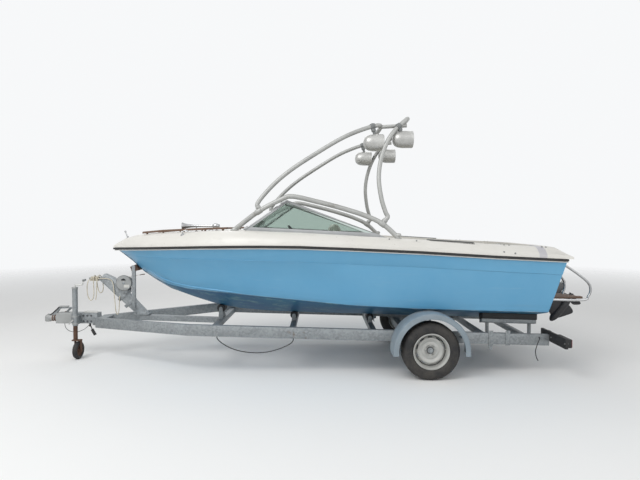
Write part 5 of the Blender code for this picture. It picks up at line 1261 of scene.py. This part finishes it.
def makeSeats():
    for name, outline in seatSettings["pads"].items():
        bm = makePad(name, outline)
        for side, word in ((1, "port"), (-1, "starboard")):
            copy = bm.copy()
            if side < 0:
                bmesh.ops.scale(copy, vec=(1, -1, 1), verts=copy.verts)
            replaced = ("seat_" + word,) if name == "back" else ()
            pad = finishPiece("seatPad_{}_{}".format(name, word), copy, "seatVinyl", replaced=replaced, levels=1)
        bm.free()
    for leftover in [o for o in scene.objects if o.name in seatSettings["pads"]]:
        bpy.data.objects.remove(leftover)
    for side, word in ((1, "port"), (-1, "starboard")):
        low, high = seatSettings["y"]
        bm = bmesh.new()
        ends = sorted((side * low, side * high))
        addBox(bm, at(0.484, ends[0] + 0.004, 1.0505), at(1.396, ends[1] - 0.004, 1.064))
        finishPiece("seatBase_" + word, bm, "greyPlastic", bevelWidth=0.003)
        bm = bmesh.new()
        for y in ends:
            inner = y + (0.003 if y == ends[0] else -0.003)
            addSlab(bm, xShift([(0.870, 1.060), (1.024, 1.060), (1.010, 1.160), (0.884, 1.160)]),
                    *sorted((inner, inner + (0.006 if y == ends[0] else -0.006))))
        finishPiece("seatHinge_" + word, bm, "chrome", bevelWidth=0.001)
    print("seats built")


makeSeats()

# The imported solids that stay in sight: merged, with their edges eased and their curves smooth

easedNodes = {  # node: paint, edge width, smooth angle
    "hull": ("hullPaint", 0.0, 30), "deck": ("deckGelcoat", 0.0, 32), "rub_rail": ("blackRubber", 0.0, 40),
    "windshield_frame": ("frameMetal", 0.0012, 35), "glass_front": ("tintedGlass", 0.0, 30),
    "glass_side_port": ("tintedGlass", 0.0, 30), "glass_side_starboard": ("tintedGlass", 0.0, 30),
    "grab_rail_port": ("teakWood", 0.003, 40), "grab_rail_starboard": ("teakWood", 0.003, 40),
    "cockpit_liner": ("linerGelcoat", 0.0, 30), "engine_block": ("enginePaint", 0.006, 30),
    "engine_hatch": ("linerGelcoat", 0.004, 30), "drive_mount": ("driveBlack", 0.004, 35),
    "drive_gimbal": ("driveBlack", 0.002, 40), "side_rail_port": ("galvanised", 0.004, 30),
    "side_rail_starboard": ("galvanised", 0.004, 30), "cross_member_fore": ("galvanised", 0.002, 30),
    "cross_member_mid": ("galvanised", 0.002, 30), "cross_member_aft": ("galvanised", 0.002, 30),
    "keel_roller_fore": ("blackRubber", 0.0, 50), "keel_roller_mid": ("blackRubber", 0.0, 50),
    "keel_roller_aft": ("blackRubber", 0.0, 50), "bunk_frame": ("galvanised", 0.002, 30),
    "bunk_pad_port": ("blackRubber", 0.006, 40), "bunk_pad_starboard": ("blackRubber", 0.006, 40),
    "axle": ("galvanised", 0.002, 35), "coupling": ("galvanised", 0.0015, 40),
    "jockey_tube": ("galvanised", 0.0, 50), "jockey_stem": ("rustySteel", 0.0, 50),
    "jockey_fork": ("rustySteel", 0.0012, 40), "winch_post": ("galvanised", 0.0015, 40),
    "winch_drum": ("galvanised", 0.0, 40), "light_bar_port": ("blackRubber", 0.002, 30),
    "light_bar_starboard": ("blackRubber", 0.002, 30), "trailer_plug": ("blackRubber", 0.0, 50),
}


def easeNode(node, paint, width, angle):
    bm = bmesh.new()
    bm.from_mesh(frame["nodes"][node].data)
    bmesh.ops.remove_doubles(bm, verts=bm.verts, dist=0.00005)
    bmesh.ops.dissolve_limit(bm, angle_limit=math.radians(0.4), verts=bm.verts, edges=bm.edges)
    if node == "hull":
        # the walls round the cockpit and the bilge wear the liner's finish
        bm.normal_update()
        for face in bm.faces:
            middle, normal = face.calc_center_median(), face.normal
            inward = normal.y * (1 if middle.y > 0 else -1) < -0.2
            ends = (normal.x > 0.5 and middle.x < axleX - 0.9) or (normal.x < -0.5 and middle.x > axleX + 1.2)
            if inward or normal.z > 0.25 or ends:
                face.material_index = 1
    if node == "winch_post":
        # the bow stop at the top of the post is rusty
        for face in bm.faces:
            middle = face.calc_center_median()
            if middle.z > 1.0 and middle.x < axleX + 3.336:
                face.material_index = 1
    piece = finishPiece(node + "_eased", bm, paint, bodyOf[node], (node,), bevelWidth=width, segments=2,
                        smoothAngle=angle)
    second = {"hull": "linerGelcoat", "winch_post": "rustySteel"}.get(node)
    if second:
        piece.data.materials.append(paints[second])


for node, (paint, width, angle) in easedNodes.items():
    easeNode(node, paint, width, angle)
print("solids eased")


# Helm

helmSettings = {
    "centre": (1.395, -0.385, 1.395), "axis": (-0.80, 0, 0.60), "ring": 0.175, "grip": 0.013, "column": 0.014,
    "reach": 0.125, "spokes": (30, 150, 270), "gaugeY": (-0.520, -0.443, -0.327, -0.250), "gaugeRadius": 0.034,
}


def makeHelm():
    s = helmSettings
    centre, axis = at(*s["centre"]), Vector(s["axis"])
    body = bodyOf["steering_wheel"]
    bm = bmesh.new()
    section = [(s["ring"] + s["grip"] * math.cos(2 * math.pi * k / 16), s["grip"] * math.sin(2 * math.pi * k / 16))
               for k in range(16)]
    addTurned(bm, section, centre, axis, 96, closed=True)
    finishPiece("steeringRim", bm, "blackRubber", body, ("steering_wheel",), smoothAngle=60)
    bm = bmesh.new()
    addTurned(bm, [(0, -0.045), (0.028, -0.045), (0.034, -0.040), (0.042, -0.022), (0.043, 0.000), (0.038, 0.008),
                   (0.022, 0.0125), (0, 0.0135)], centre, axis, 48)
    finishPiece("steeringHub", bm, "blackRubber", body, smoothAngle=45)
    seat = frameTo(axis, centre)
    for k, angle in enumerate(s["spokes"]):
        bm = bmesh.new()
        addBox(bm, (0.034, -0.014, -0.018), (s["ring"] - 0.004, 0.014, -0.010))
        bmesh.ops.subdivide_edges(bm, edges=bm.edges, cuts=3, use_grid_fill=True)
        for v in bm.verts:
            share = max(0.0, (v.co.x - 0.034) / (s["ring"] - 0.038))
            v.co.z += 0.012 * share ** 1.5
            v.co.y *= 1.0 - 0.35 * math.sin(math.pi * min(share, 1.0))
        bmesh.ops.transform(bm, matrix=seat @ Matrix.Rotation(math.radians(angle), 4, "Z"), verts=bm.verts)
        finishPiece("steeringSpoke_{}".format(k + 1), bm, "frameMetal", body, bevelWidth=0.001)
    bm = bmesh.new()
    addRod(bm, centre - axis * 0.030, centre - axis * s["reach"], s["column"], 28)
    finishPiece("steeringColumn", bm, "blackRubber", body)
    # dials on the sloping face behind the wheel
    for k, y in enumerate(s["gaugeY"]):
        hit, normal, _, _ = deckTree.ray_cast(at(1.40, y, 1.53), Vector((0.707, 0, -0.707)))
        if hit is None:
            continue
        r = s["gaugeRadius"]
        bm = bmesh.new()
        addTurned(bm, [(r - 0.006, 0.0), (r, 0.0), (r, 0.004), (r - 0.002, 0.0075), (r - 0.005, 0.006),
                       (r - 0.006, 0.003)], hit, normal, 48, closed=True)
        finishPiece("dialBezel_{}".format(k + 1), bm, "chrome")
        bm = bmesh.new()
        addTurned(bm, [(0, 0.0005), (r - 0.0055, 0.0005), (r - 0.0055, 0.0025), (0, 0.0027)], hit, normal, 40)
        finishPiece("dialFace_{}".format(k + 1), bm, "gaugeFace")
        bm = bmesh.new()
        flat = frameTo(normal, hit)
        for tick in range(9):
            turn = flat @ Matrix.Rotation(math.radians(-210 + 30 * tick), 4, "Z")
            addBox(bm, (r - 0.014, -0.0005, 0.0026), (r - 0.009, 0.0005, 0.0032), turn)
        addBox(bm, (-0.003, -0.0006, 0.0034), (r - 0.013, 0.0006, 0.0040),
               flat @ Matrix.Rotation(math.radians(-200 + 25 * k), 4, "Z"))
        addTurned(bm, [(0, 0.0026), (0.003, 0.0026), (0.003, 0.0045), (0, 0.005)], hit, normal, 16)
        finishPiece("dialMarks_{}".format(k + 1), bm, "blankPlate")
    # control box on the starboard coaming
    hit, normal, _, _ = hullTree.ray_cast(at(1.200, -0.500, 1.300), Vector((0, -1, 0)))
    if hit is not None:
        bm = bmesh.new()
        addBox(bm, hit + Vector((-0.060, -0.004, -0.045)), hit + Vector((0.060, 0.034, 0.045)))
        finishPiece("controlBox", bm, "driveBlack", bevelWidth=0.006, segments=3)
        bm = bmesh.new()
        hub = hit + Vector((0.0, 0.034, 0.0))
        addTurned(bm, [(0, 0), (0.026, 0), (0.026, 0.006), (0.018, 0.012), (0, 0.013)], hub, (0, 1, 0), 32)
        addRod(bm, hub + Vector((0, 0.008, 0)), hub + Vector((0.030, 0.010, 0.120)), 0.006, 16)
        addTurned(bm, [(0, -0.016), (0.010, -0.014), (0.014, 0.0), (0.010, 0.014), (0, 0.016)],
                  hub + Vector((0.032, 0.010, 0.128)), (0, 1, 0), 24)
        finishPiece("controlLever", bm, "driveBlack", bevelWidth=0.0008)
    # lifting ring and hinges on the engine hatch
    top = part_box("engine_hatch")[1].z
    bm = bmesh.new()
    addTurned(bm, [(0, 0.0), (0.034, 0.0), (0.034, 0.002), (0.026, 0.0035), (0.024, 0.001), (0, 0.001)],
              at(-0.420, 0, top), (0, 0, 1), 40)
    ring = [(0.018 + 0.0025 * math.cos(2 * math.pi * k / 10), 0.0025 * math.sin(2 * math.pi * k / 10))
            for k in range(10)]
    addTurned(bm, ring, at(-0.420, 0, top + 0.0035), (0, 0, 1), 40, closed=True)
    for y in (-0.220, 0.220):
        addBox(bm, at(-1.095, y - 0.035, top - 0.001), at(-1.050, y + 0.035, top + 0.003))
        addRod(bm, at(-1.095, y - 0.035, top + 0.003), at(-1.095, y + 0.035, top + 0.003), 0.004, 12)
    finishPiece("hatchFittings", bm, "chrome", bodyOf["engine_hatch"], bevelWidth=0.0006)
    print("helm built")


makeHelm()


# Trailer nose

noseSettings = {
    "cover": ((4.020, -0.0605, 0.3935), (4.2065, 0.0605, 0.5155)),
    "gaiter": [(0, -0.001), (0.045, -0.001), (0.045, 0.006), (0.034, 0.016), (0.041, 0.026), (0.042, 0.031),
               (0.031, 0.042), (0.039, 0.053), (0.040, 0.058), (0.030, 0.068), (0.036, 0.079), (0.037, 0.084),
               (0.029, 0.093), (0.033, 0.100), (0, 0.101)],
    "ballHead": [(0, -0.0415), (0.037, -0.0415), (0.040, -0.036), (0.0405, -0.010), (0.0415, 0.004), (0.039, 0.018),
                 (0.033, 0.030), (0.022, 0.0375), (0, 0.0395)],
    "shaftZ": 0.452, "boltX": (3.790, 3.835, 3.880, 3.985), "boltZ": (0.420, 0.486),
}


def makeNose():
    s = noseSettings
    bm = bmesh.new()
    addBox(bm, at(*s["cover"][0]), at(*s["cover"][1]))
    finishPiece("housingCover", bm, "castGrey", bevelWidth=0.010, segments=4)
    bm = bmesh.new()
    for y in (-1, 1):
        for x in s["boltX"]:
            for z in s["boltZ"]:
                spot = at(x, y * 0.0575, z)
                if y > 0 and 3.90 < x < 3.99:
                    continue
                addTurned(bm, [(0, 0), (0.0125, 0), (0.0125, 0.0022), (0, 0.0022)], spot, (0, y, 0), 20)
                addRod(bm, spot, spot + Vector((0, y * 0.0085, 0)), 0.0075, 6)
        addBox(bm, at(3.990, min(y * 0.058, y * 0.064), 0.400), at(4.014, max(y * 0.058, y * 0.064), 0.508))
    finishPiece("housingBolts", bm, "enginePaint", bevelWidth=0.0008)
    bm = bmesh.new()
    addTurned(bm, s["gaiter"], at(4.2055, 0, s["shaftZ"]), (1, 0, 0), 48)
    finishPiece("drawGaiter", bm, "rustySteel", smoothAngle=60)
    bm = bmesh.new()
    addTurned(bm, s["ballHead"], at(4.3195, 0, s["shaftZ"]), (0, 0, 1), 48)
    addRod(bm, at(4.255, 0, s["shaftZ"]), at(4.300, 0, s["shaftZ"]), 0.034, 40, 0.038)
    addTurned(bm, [(0, 0), (0.012, 0), (0.012, 0.006), (0.008, 0.010), (0, 0.010)], at(4.3195, 0, 0.4905), (0, 0, 1), 24)
    finishPiece("ballHead", bm, "castGrey", bevelWidth=0.0015, smoothAngle=50)
    # release lever with its grip
    bm = bmesh.new()
    addSlab(bm, xShift([(4.300, 0.478), (4.305, 0.492), (4.276, 0.508), (4.192, 0.586), (4.172, 0.592), (4.176, 0.578),
                        (4.262, 0.498)]), -0.0155, 0.0155)
    finishPiece("releaseLever", bm, "driveBlack", bevelWidth=0.003)
    bm = bmesh.new()
    addSlab(bm, xShift([(4.196, 0.582), (4.190, 0.594), (4.085, 0.596), (4.078, 0.590), (4.084, 0.580), (4.180, 0.577)]),
            -0.0185, 0.0185)
    finishPiece("releaseGrip", bm, "castGrey", bevelWidth=0.004, segments=3)
    # flat guard over the rear of the housing
    bm = bmesh.new()
    addSlab(bm, xShift([(3.735, 0.5135), (3.735, 0.518), (3.755, 0.531), (3.880, 0.533), (3.892, 0.527),
                        (3.892, 0.5135)]), -0.030, 0.030)
    finishPiece("housingGuard", bm, "whiteTrim", bevelWidth=0.003)
    # brake lever's pivot
    bm = bmesh.new()
    addRod(bm, at(4.135, -0.0500, 0.512), at(4.135, -0.0250, 0.512), 0.0110, 24)
    finishPiece("brakePivot", bm, "rustySteel", bevelWidth=0.001)
    print("trailer nose built")


makeNose()


# Jockey wheel

jockeySettings = {
    "x": 3.940, "y": 0.130, "tube": 0.0302, "wheelX": 3.910, "wheelRadius": 0.100,
    "tyre": [(0.0640, -0.0135), (0.0700, -0.0215), (0.0760, -0.0255), (0.0840, -0.0272), (0.0900, -0.0258),
             (0.0955, -0.0200), (0.0985, -0.0120), (0.0999, -0.0040), (0.0999, 0.0040), (0.0985, 0.0120),
             (0.0955, 0.0200), (0.0900, 0.0258), (0.0840, 0.0272), (0.0760, 0.0255), (0.0700, 0.0215),
             (0.0640, 0.0135)],
    "hub": [(0.0088, -0.0290), (0.0200, -0.0290), (0.0255, -0.0270), (0.0280, -0.0180), (0.0310, -0.0080),
            (0.0560, -0.0070), (0.0620, -0.0120), (0.0665, -0.0175), (0.0665, -0.0150), (0.0640, -0.0130),
            (0.0640, 0.0130), (0.0665, 0.0150), (0.0665, 0.0175), (0.0620, 0.0120), (0.0560, 0.0070),
            (0.0310, 0.0080), (0.0280, 0.0180), (0.0255, 0.0270), (0.0200, 0.0290), (0.0088, 0.0290)],
}


def makeJockey():
    s = jockeySettings
    middle = at(s["wheelX"], s["y"], s["wheelRadius"])
    roller = bodyOf["jockey_wheel"]
    bm = bmesh.new()
    addTurned(bm, s["tyre"], middle, (1, 0, 0), 64, closed=True)
    finishPiece("jockeyTyre", bm, "tyreRubber", roller, ("jockey_wheel",), smoothAngle=50)
    bm = bmesh.new()
    addTurned(bm, s["hub"], middle, (1, 0, 0), 64, closed=True)
    for k in range(5):
        turn = math.radians(72 * k)
        spot = middle + Vector((0, math.cos(turn), math.sin(turn))) * 0.045
        addRod(bm, spot - Vector((0.0090, 0, 0)), spot + Vector((0.0090, 0, 0)), 0.0060, 16)
    finishPiece("jockeyHub", bm, "rustySteel", roller, smoothAngle=40)
    base = at(s["x"], s["y"], 0)
    rings = [(0.4080, 0.018), (0.4920, 0.018)]
    bm = bmesh.new()
    for z, tall in rings:
        addTurned(bm, [(s["tube"], -tall / 2), (s["tube"] + 0.004, -tall / 2), (s["tube"] + 0.004, tall / 2),
                       (s["tube"], tall / 2)], base + Vector((0, 0, z)), (0, 0, 1), 40, closed=True)
    addTurned(bm, [(0, 0.8250), (0.0315, 0.8250), (0.0315, 0.8150), (0.0335, 0.8150), (0.0335, 0.8290),
                   (0.0260, 0.8340), (0, 0.8345)], base, (0, 0, 1), 40)
    finishPiece("jockeyBands", bm, "castGrey", bevelWidth=0.0008)
    bm = bmesh.new()
    addRod(bm, base + Vector((0.012, 0.030, 0.450)), base + Vector((0.012, 0.046, 0.450)), 0.009, 20)
    addRod(bm, base + Vector((0.012, 0.043, 0.450)), base + Vector((0.040, 0.048, 0.420)), 0.0055, 12)
    addTurned(bm, [(0, 0), (0.008, 0), (0.009, 0.010), (0.006, 0.016), (0, 0.016)],
              base + Vector((0.038, 0.0475, 0.422)), (0.7, 0.1, -0.7), 20)
    finishPiece("jockeyClampScrew", bm, "zinc", bevelWidth=0.0006)
    bm = bmesh.new()
    start, end = base + Vector((-0.090, 0, 0.9045)), base + Vector((-0.1275, 0, 0.9175))
    addTurned(bm, [(0, 0), (0.0090, 0), (0.0128, 0.004), (0.0132, 0.018), (0.0120, 0.034), (0.0080, 0.0395),
                   (0, 0.0400)], start, end - start, 28)
    finishPiece("crankGrip", bm, "greyPlastic", smoothAngle=50)
    crank = [(0, 0, 0.826), (0, 0, 0.857), (-0.085, 0, 0.857), (-0.102, 0, 0.909)]
    eased = [base + Vector(p) for p in ((0, 0, .826), (0, 0, .842), (-0.003, 0, .853), (-0.014, 0, .857),
                                        (-0.040, 0, .857), (-0.072, 0, .857), (-0.083, 0, .860), (-0.090, 0, .870),
                                        (-0.099, 0, .898), (-0.102, 0, .909))]
    pipe("crankArm", eased, 0.0074, bodyOf["jockey_tube"], "whiteTrim", 4)
    print("jockey wheel built")


makeJockey()


# Winch, its guard and its strap

winchSettings = {
    "drum": (3.400, 0.0, 0.870), "guardRadius": 0.0905, "spool": 0.056, "eye": (3.178, 0.0, 0.968),
    "beltHalf": 0.024, "beltThick": 0.0022,
}


def makeWinch():
    s = winchSettings
    drum = at(*s["drum"])
    bm = bmesh.new()
    r = s["guardRadius"]
    addTurned(bm, [(0, 0.0615), (r - 0.004, 0.0615), (r, 0.0600), (r + 0.0025, 0.0630), (r + 0.0025, 0.0670),
                   (r, 0.0700), (r - 0.004, 0.0700), (r - 0.008, 0.0706), (r - 0.020, 0.0712), (0, 0.0714)],
              drum, (0, 1, 0), 72)
    finishPiece("winchGuard", bm, "castGrey", smoothAngle=50)
    bm = bmesh.new()
    addSlab(bm, [(drum.x + 0.030, drum.z + 0.030), (drum.x + 0.024, drum.z + 0.048), (drum.x + 0.004, drum.z + 0.056),
                 (drum.x - 0.020, drum.z + 0.046), (drum.x - 0.024, drum.z + 0.030)], 0.0712, 0.0722)
    finishPiece("guardSlot", bm, "darkMeshAndShade")
    bm = bmesh.new()
    addBox(bm, (drum.x - 0.066, 0.0711, drum.z - 0.052), (drum.x - 0.002, 0.0721, drum.z - 0.018),
           Matrix.Identity(4))
    finishPiece("guardLabel", bm, "blankPlate")
    bm = bmesh.new()
    addTurned(bm, [(0, 0.0712), (0.015, 0.0712), (0.015, 0.0735), (0.010, 0.0765), (0, 0.077)], drum, (0, 1, 0), 28)
    for k in range(3):
        turn = math.radians(30 + 120 * k)
        spot = drum + Vector((math.cos(turn) * 0.072, 0.0712, math.sin(turn) * 0.072))
        addTurned(bm, [(0, 0), (0.0055, 0), (0.0050, 0.002), (0, 0.003)], spot, (0, 1, 0), 16)
    finishPiece("guardRivets", bm, "galvanised")
    # strap from the top of the spool to the eye on the stem
    eye = at(*s["eye"])
    along = (eye - drum - Vector((0.010, 0, s["spool"]))).normalized()
    normal = Vector((along.z, 0, -along.x))
    if normal.z < 0:
        normal = -normal
    start = drum + normal * (s["spool"] + 0.0030) - along * 0.008
    bm = bmesh.new()
    half, lift = Vector((0, s["beltHalf"], 0)), normal * s["beltThick"] / 2
    stations = []
    reach = (eye - start).length - 0.045
    for k in range(13):
        p = start + along * (reach * k / 12)
        ring = [bm.verts.new(p + half + lift), bm.verts.new(p - half + lift), bm.verts.new(p - half - lift),
                bm.verts.new(p + half - lift)]
        edges = [bm.edges.new((ring[i - 1], ring[i])) for i in range(4)]
        stations.append(edges)
        if k:
            bmesh.ops.bridge_loops(bm, edges=stations[-2] + stations[-1])
        if k in (0, 12):
            bm.faces.new(ring)
    finishPiece("winchBelt", bm, "strapWebbing", replaced=("winch_strap",), bevelWidth=0.0004)
    bm = bmesh.new()
    wrap = [(s["spool"] + 0.0004, -s["beltHalf"]), (s["spool"] + 0.0026, -s["beltHalf"]),
            (s["spool"] + 0.0026, s["beltHalf"]), (s["spool"] + 0.0004, s["beltHalf"])]
    addTurned(bm, wrap, drum, (0, 1, 0), 64, closed=True)
    finishPiece("beltTurns", bm, "strapWebbing", bodyOf["winch_drum"])
    end = start + along * reach
    bm = bmesh.new()
    for y in (-1, 1):
        addRod(bm, end + Vector((0, y * 0.028, 0)) - along * 0.004, end + Vector((0, y * 0.012, 0)) + along * 0.022,
               0.0035, 12)
    addRod(bm, end - along * 0.003 + Vector((0, -0.028, 0)), end - along * 0.003 + Vector((0, 0.028, 0)), 0.0040, 16)
    addRod(bm, end + along * 0.018, eye + along * 0.002, 0.0055, 16)
    finishPiece("strapHook", bm, "rustySteel", bevelWidth=0.0004)
    # clamp plates and nuts that hold the arm
    bm = bmesh.new()
    lean = Matrix.Translation(at(3.385, 0, 0.672)) @ Matrix.Rotation(math.radians(-46), 4, "Y")
    for along_ in (-0.055, 0.055):
        for side in (1, -1):
            y = sorted((side * 0.0352, side * 0.0412))
            addBox(bm, (along_ - 0.020, y[0], -0.068), (along_ + 0.020, y[1], 0.068), lean)
            for up in (-0.050, 0.050):
                spot = lean @ Vector((along_, side * 0.041, up))
                addRod(bm, spot, spot + Vector((0, side * 0.009, 0)), 0.0085, 6)
    finishPiece("armPlates", bm, "galvanised", bevelWidth=0.0012)
    bm = bmesh.new()
    for x in (3.145, 3.275):
        for y in (-0.042, 0.042):
            addRod(bm, at(x, y, 0.5075), at(x, y, 0.5165), 0.0090, 6)
            addRod(bm, at(x, y, 0.5160), at(x, y, 0.5240), 0.0050, 12)
    finishPiece("footBolts", bm, "galvanised", bevelWidth=0.0005)
    print("winch built")


makeWinch()


# Lamps and fittings on the rails

lampSettings = {
    "aftX": -1.3403, "z": (0.3546, 0.4306), "red": (0.930, 1.024), "amber": (0.866, 0.926), "clear": (0.806, 0.862),
}


def makeLamps(side, word):
    s = lampSettings
    for name, paint in (("red", "lensRed"), ("amber", "lensAmber"), ("clear", "lensClear")):
        y = sorted(side * v for v in s[name])
        bm = bmesh.new()
        addBox(bm, at(s["aftX"] - 0.0085, y[0], s["z"][0]), at(s["aftX"] + 0.001, y[1], s["z"][1]))
        finishPiece("lens_{}_{}".format(name, word), bm, paint, bevelWidth=0.0035, segments=3)
    bm = bmesh.new()
    for y in (0.5500, 0.7600, 1.0370):
        spot = at(-1.2985, side * y, 0.3950)
        addTurned(bm, [(0, 0), (0.0075, 0), (0.0060, 0.0035), (0, 0.004)], spot, (-1, 0, 0), 16)
        addRod(bm, at(-1.2705, side * y, 0.3950), at(-1.2635, side * y, 0.3950), 0.0070, 6)
    finishPiece("lampScrews_" + word, bm, "greyPlastic")
    # clamp plates and the tie-down eye on the rail
    bm = bmesh.new()
    face = 0.7200
    for x, low, high in ((-0.838, 0.3000, 0.4620), (-0.663, 0.3000, 0.4620)):
        ends = sorted((side * face, side * (face + 0.005)))
        addBox(bm, at(x - 0.024, ends[0], low + 0.004), at(x + 0.024, ends[1], high - 0.006))
        for z in (low + 0.022, high - 0.024):
            addRod(bm, at(x, side * (face + 0.004), z), at(x, side * (face + 0.014), z), 0.0085, 6)
    finishPiece("railPlates_" + word, bm, "galvanised", bevelWidth=0.001)
    bm = bmesh.new()
    outline = [(-0.022, 0.306), (0.022, 0.306), (0.022, 0.268), (0.014, 0.252), (0.0, 0.246), (-0.014, 0.252),
               (-0.022, 0.268)]
    ends = sorted((side * 0.697, side * 0.703))
    addSlab(bm, [(axleX - 0.665 + x, z) for x, z in outline], ends[0], ends[1])
    addTurned(bm, [(0.0085, -0.0040), (0.0115, -0.0040), (0.0115, 0.0040), (0.0085, 0.0040)],
              at(-0.665, side * 0.700, 0.264), (0, 1, 0), 24, closed=True)
    finishPiece("tieEye_" + word, bm, "galvanised", bevelWidth=0.0008)


for side, word in ((1, "port"), (-1, "starboard")):
    makeLamps(side, word)
print("lamps and plates built")


# Rails moulded along the hull: the spray rail under the bow and the crease below the sheer

hullRails = {
    "spray": {"proud": 0.0065, "tall": 0.012,
              "line": [(1.900, 0.828), (2.200, 0.850), (2.500, 0.872), (2.750, 0.905), (2.950, 0.962), (3.080, 1.030)]},
    "crease": {"proud": 0.0040, "tall": 0.005,
               "line": [(0.250, 1.136), (0.700, 1.158), (1.150, 1.176), (1.550, 1.188), (2.050, 1.192), (2.500, 1.192),
                        (2.850, 1.190), (3.130, 1.188), (3.230, 1.186)]},
}


def makeHullRail(name, facts, side, word):
    route = smoothRoute([(x, 0, z) for x, z in facts["line"]], 6)
    bm = bmesh.new()
    rings = []
    last = len(route) - 1
    out, up = Vector((0, side, 0)), Vector((0, 0, 1))
    for i, p in enumerate(route):
        hit, normal, _, _ = hullTree.ray_cast(at(p.x, side * 2.0, p.z), -out)
        if hit is None:
            continue
        share = min(1.0, 4.0 * i / last, 4.0 * (last - i) / last)
        proud, tall = 0.001 + (facts["proud"] - 0.001) * share, facts["tall"]
        places = (hit - out * 0.004 + up * tall, hit + out * proud * 0.6 + up * tall * 0.35,
                  hit + out * proud - up * tall * 0.25, hit - out * 0.005 - up * tall * 0.65)
        rings.append([bm.verts.new(place) for place in places])
    loops = [[bm.edges.new((ring[k - 1], ring[k])) for k in range(4)] for ring in rings]
    for first, second in zip(loops, loops[1:]):
        bmesh.ops.bridge_loops(bm, edges=first + second)
    bm.faces.new(rings[0])
    bm.faces.new(rings[-1])
    finishPiece("{}Rail_{}".format(name, word), bm, "hullPaint", smoothAngle=50)


for name, facts in hullRails.items():
    for side, word in ((1, "port"), (-1, "starboard")):
        makeHullRail(name, facts, side, word)
print("hull rails built")
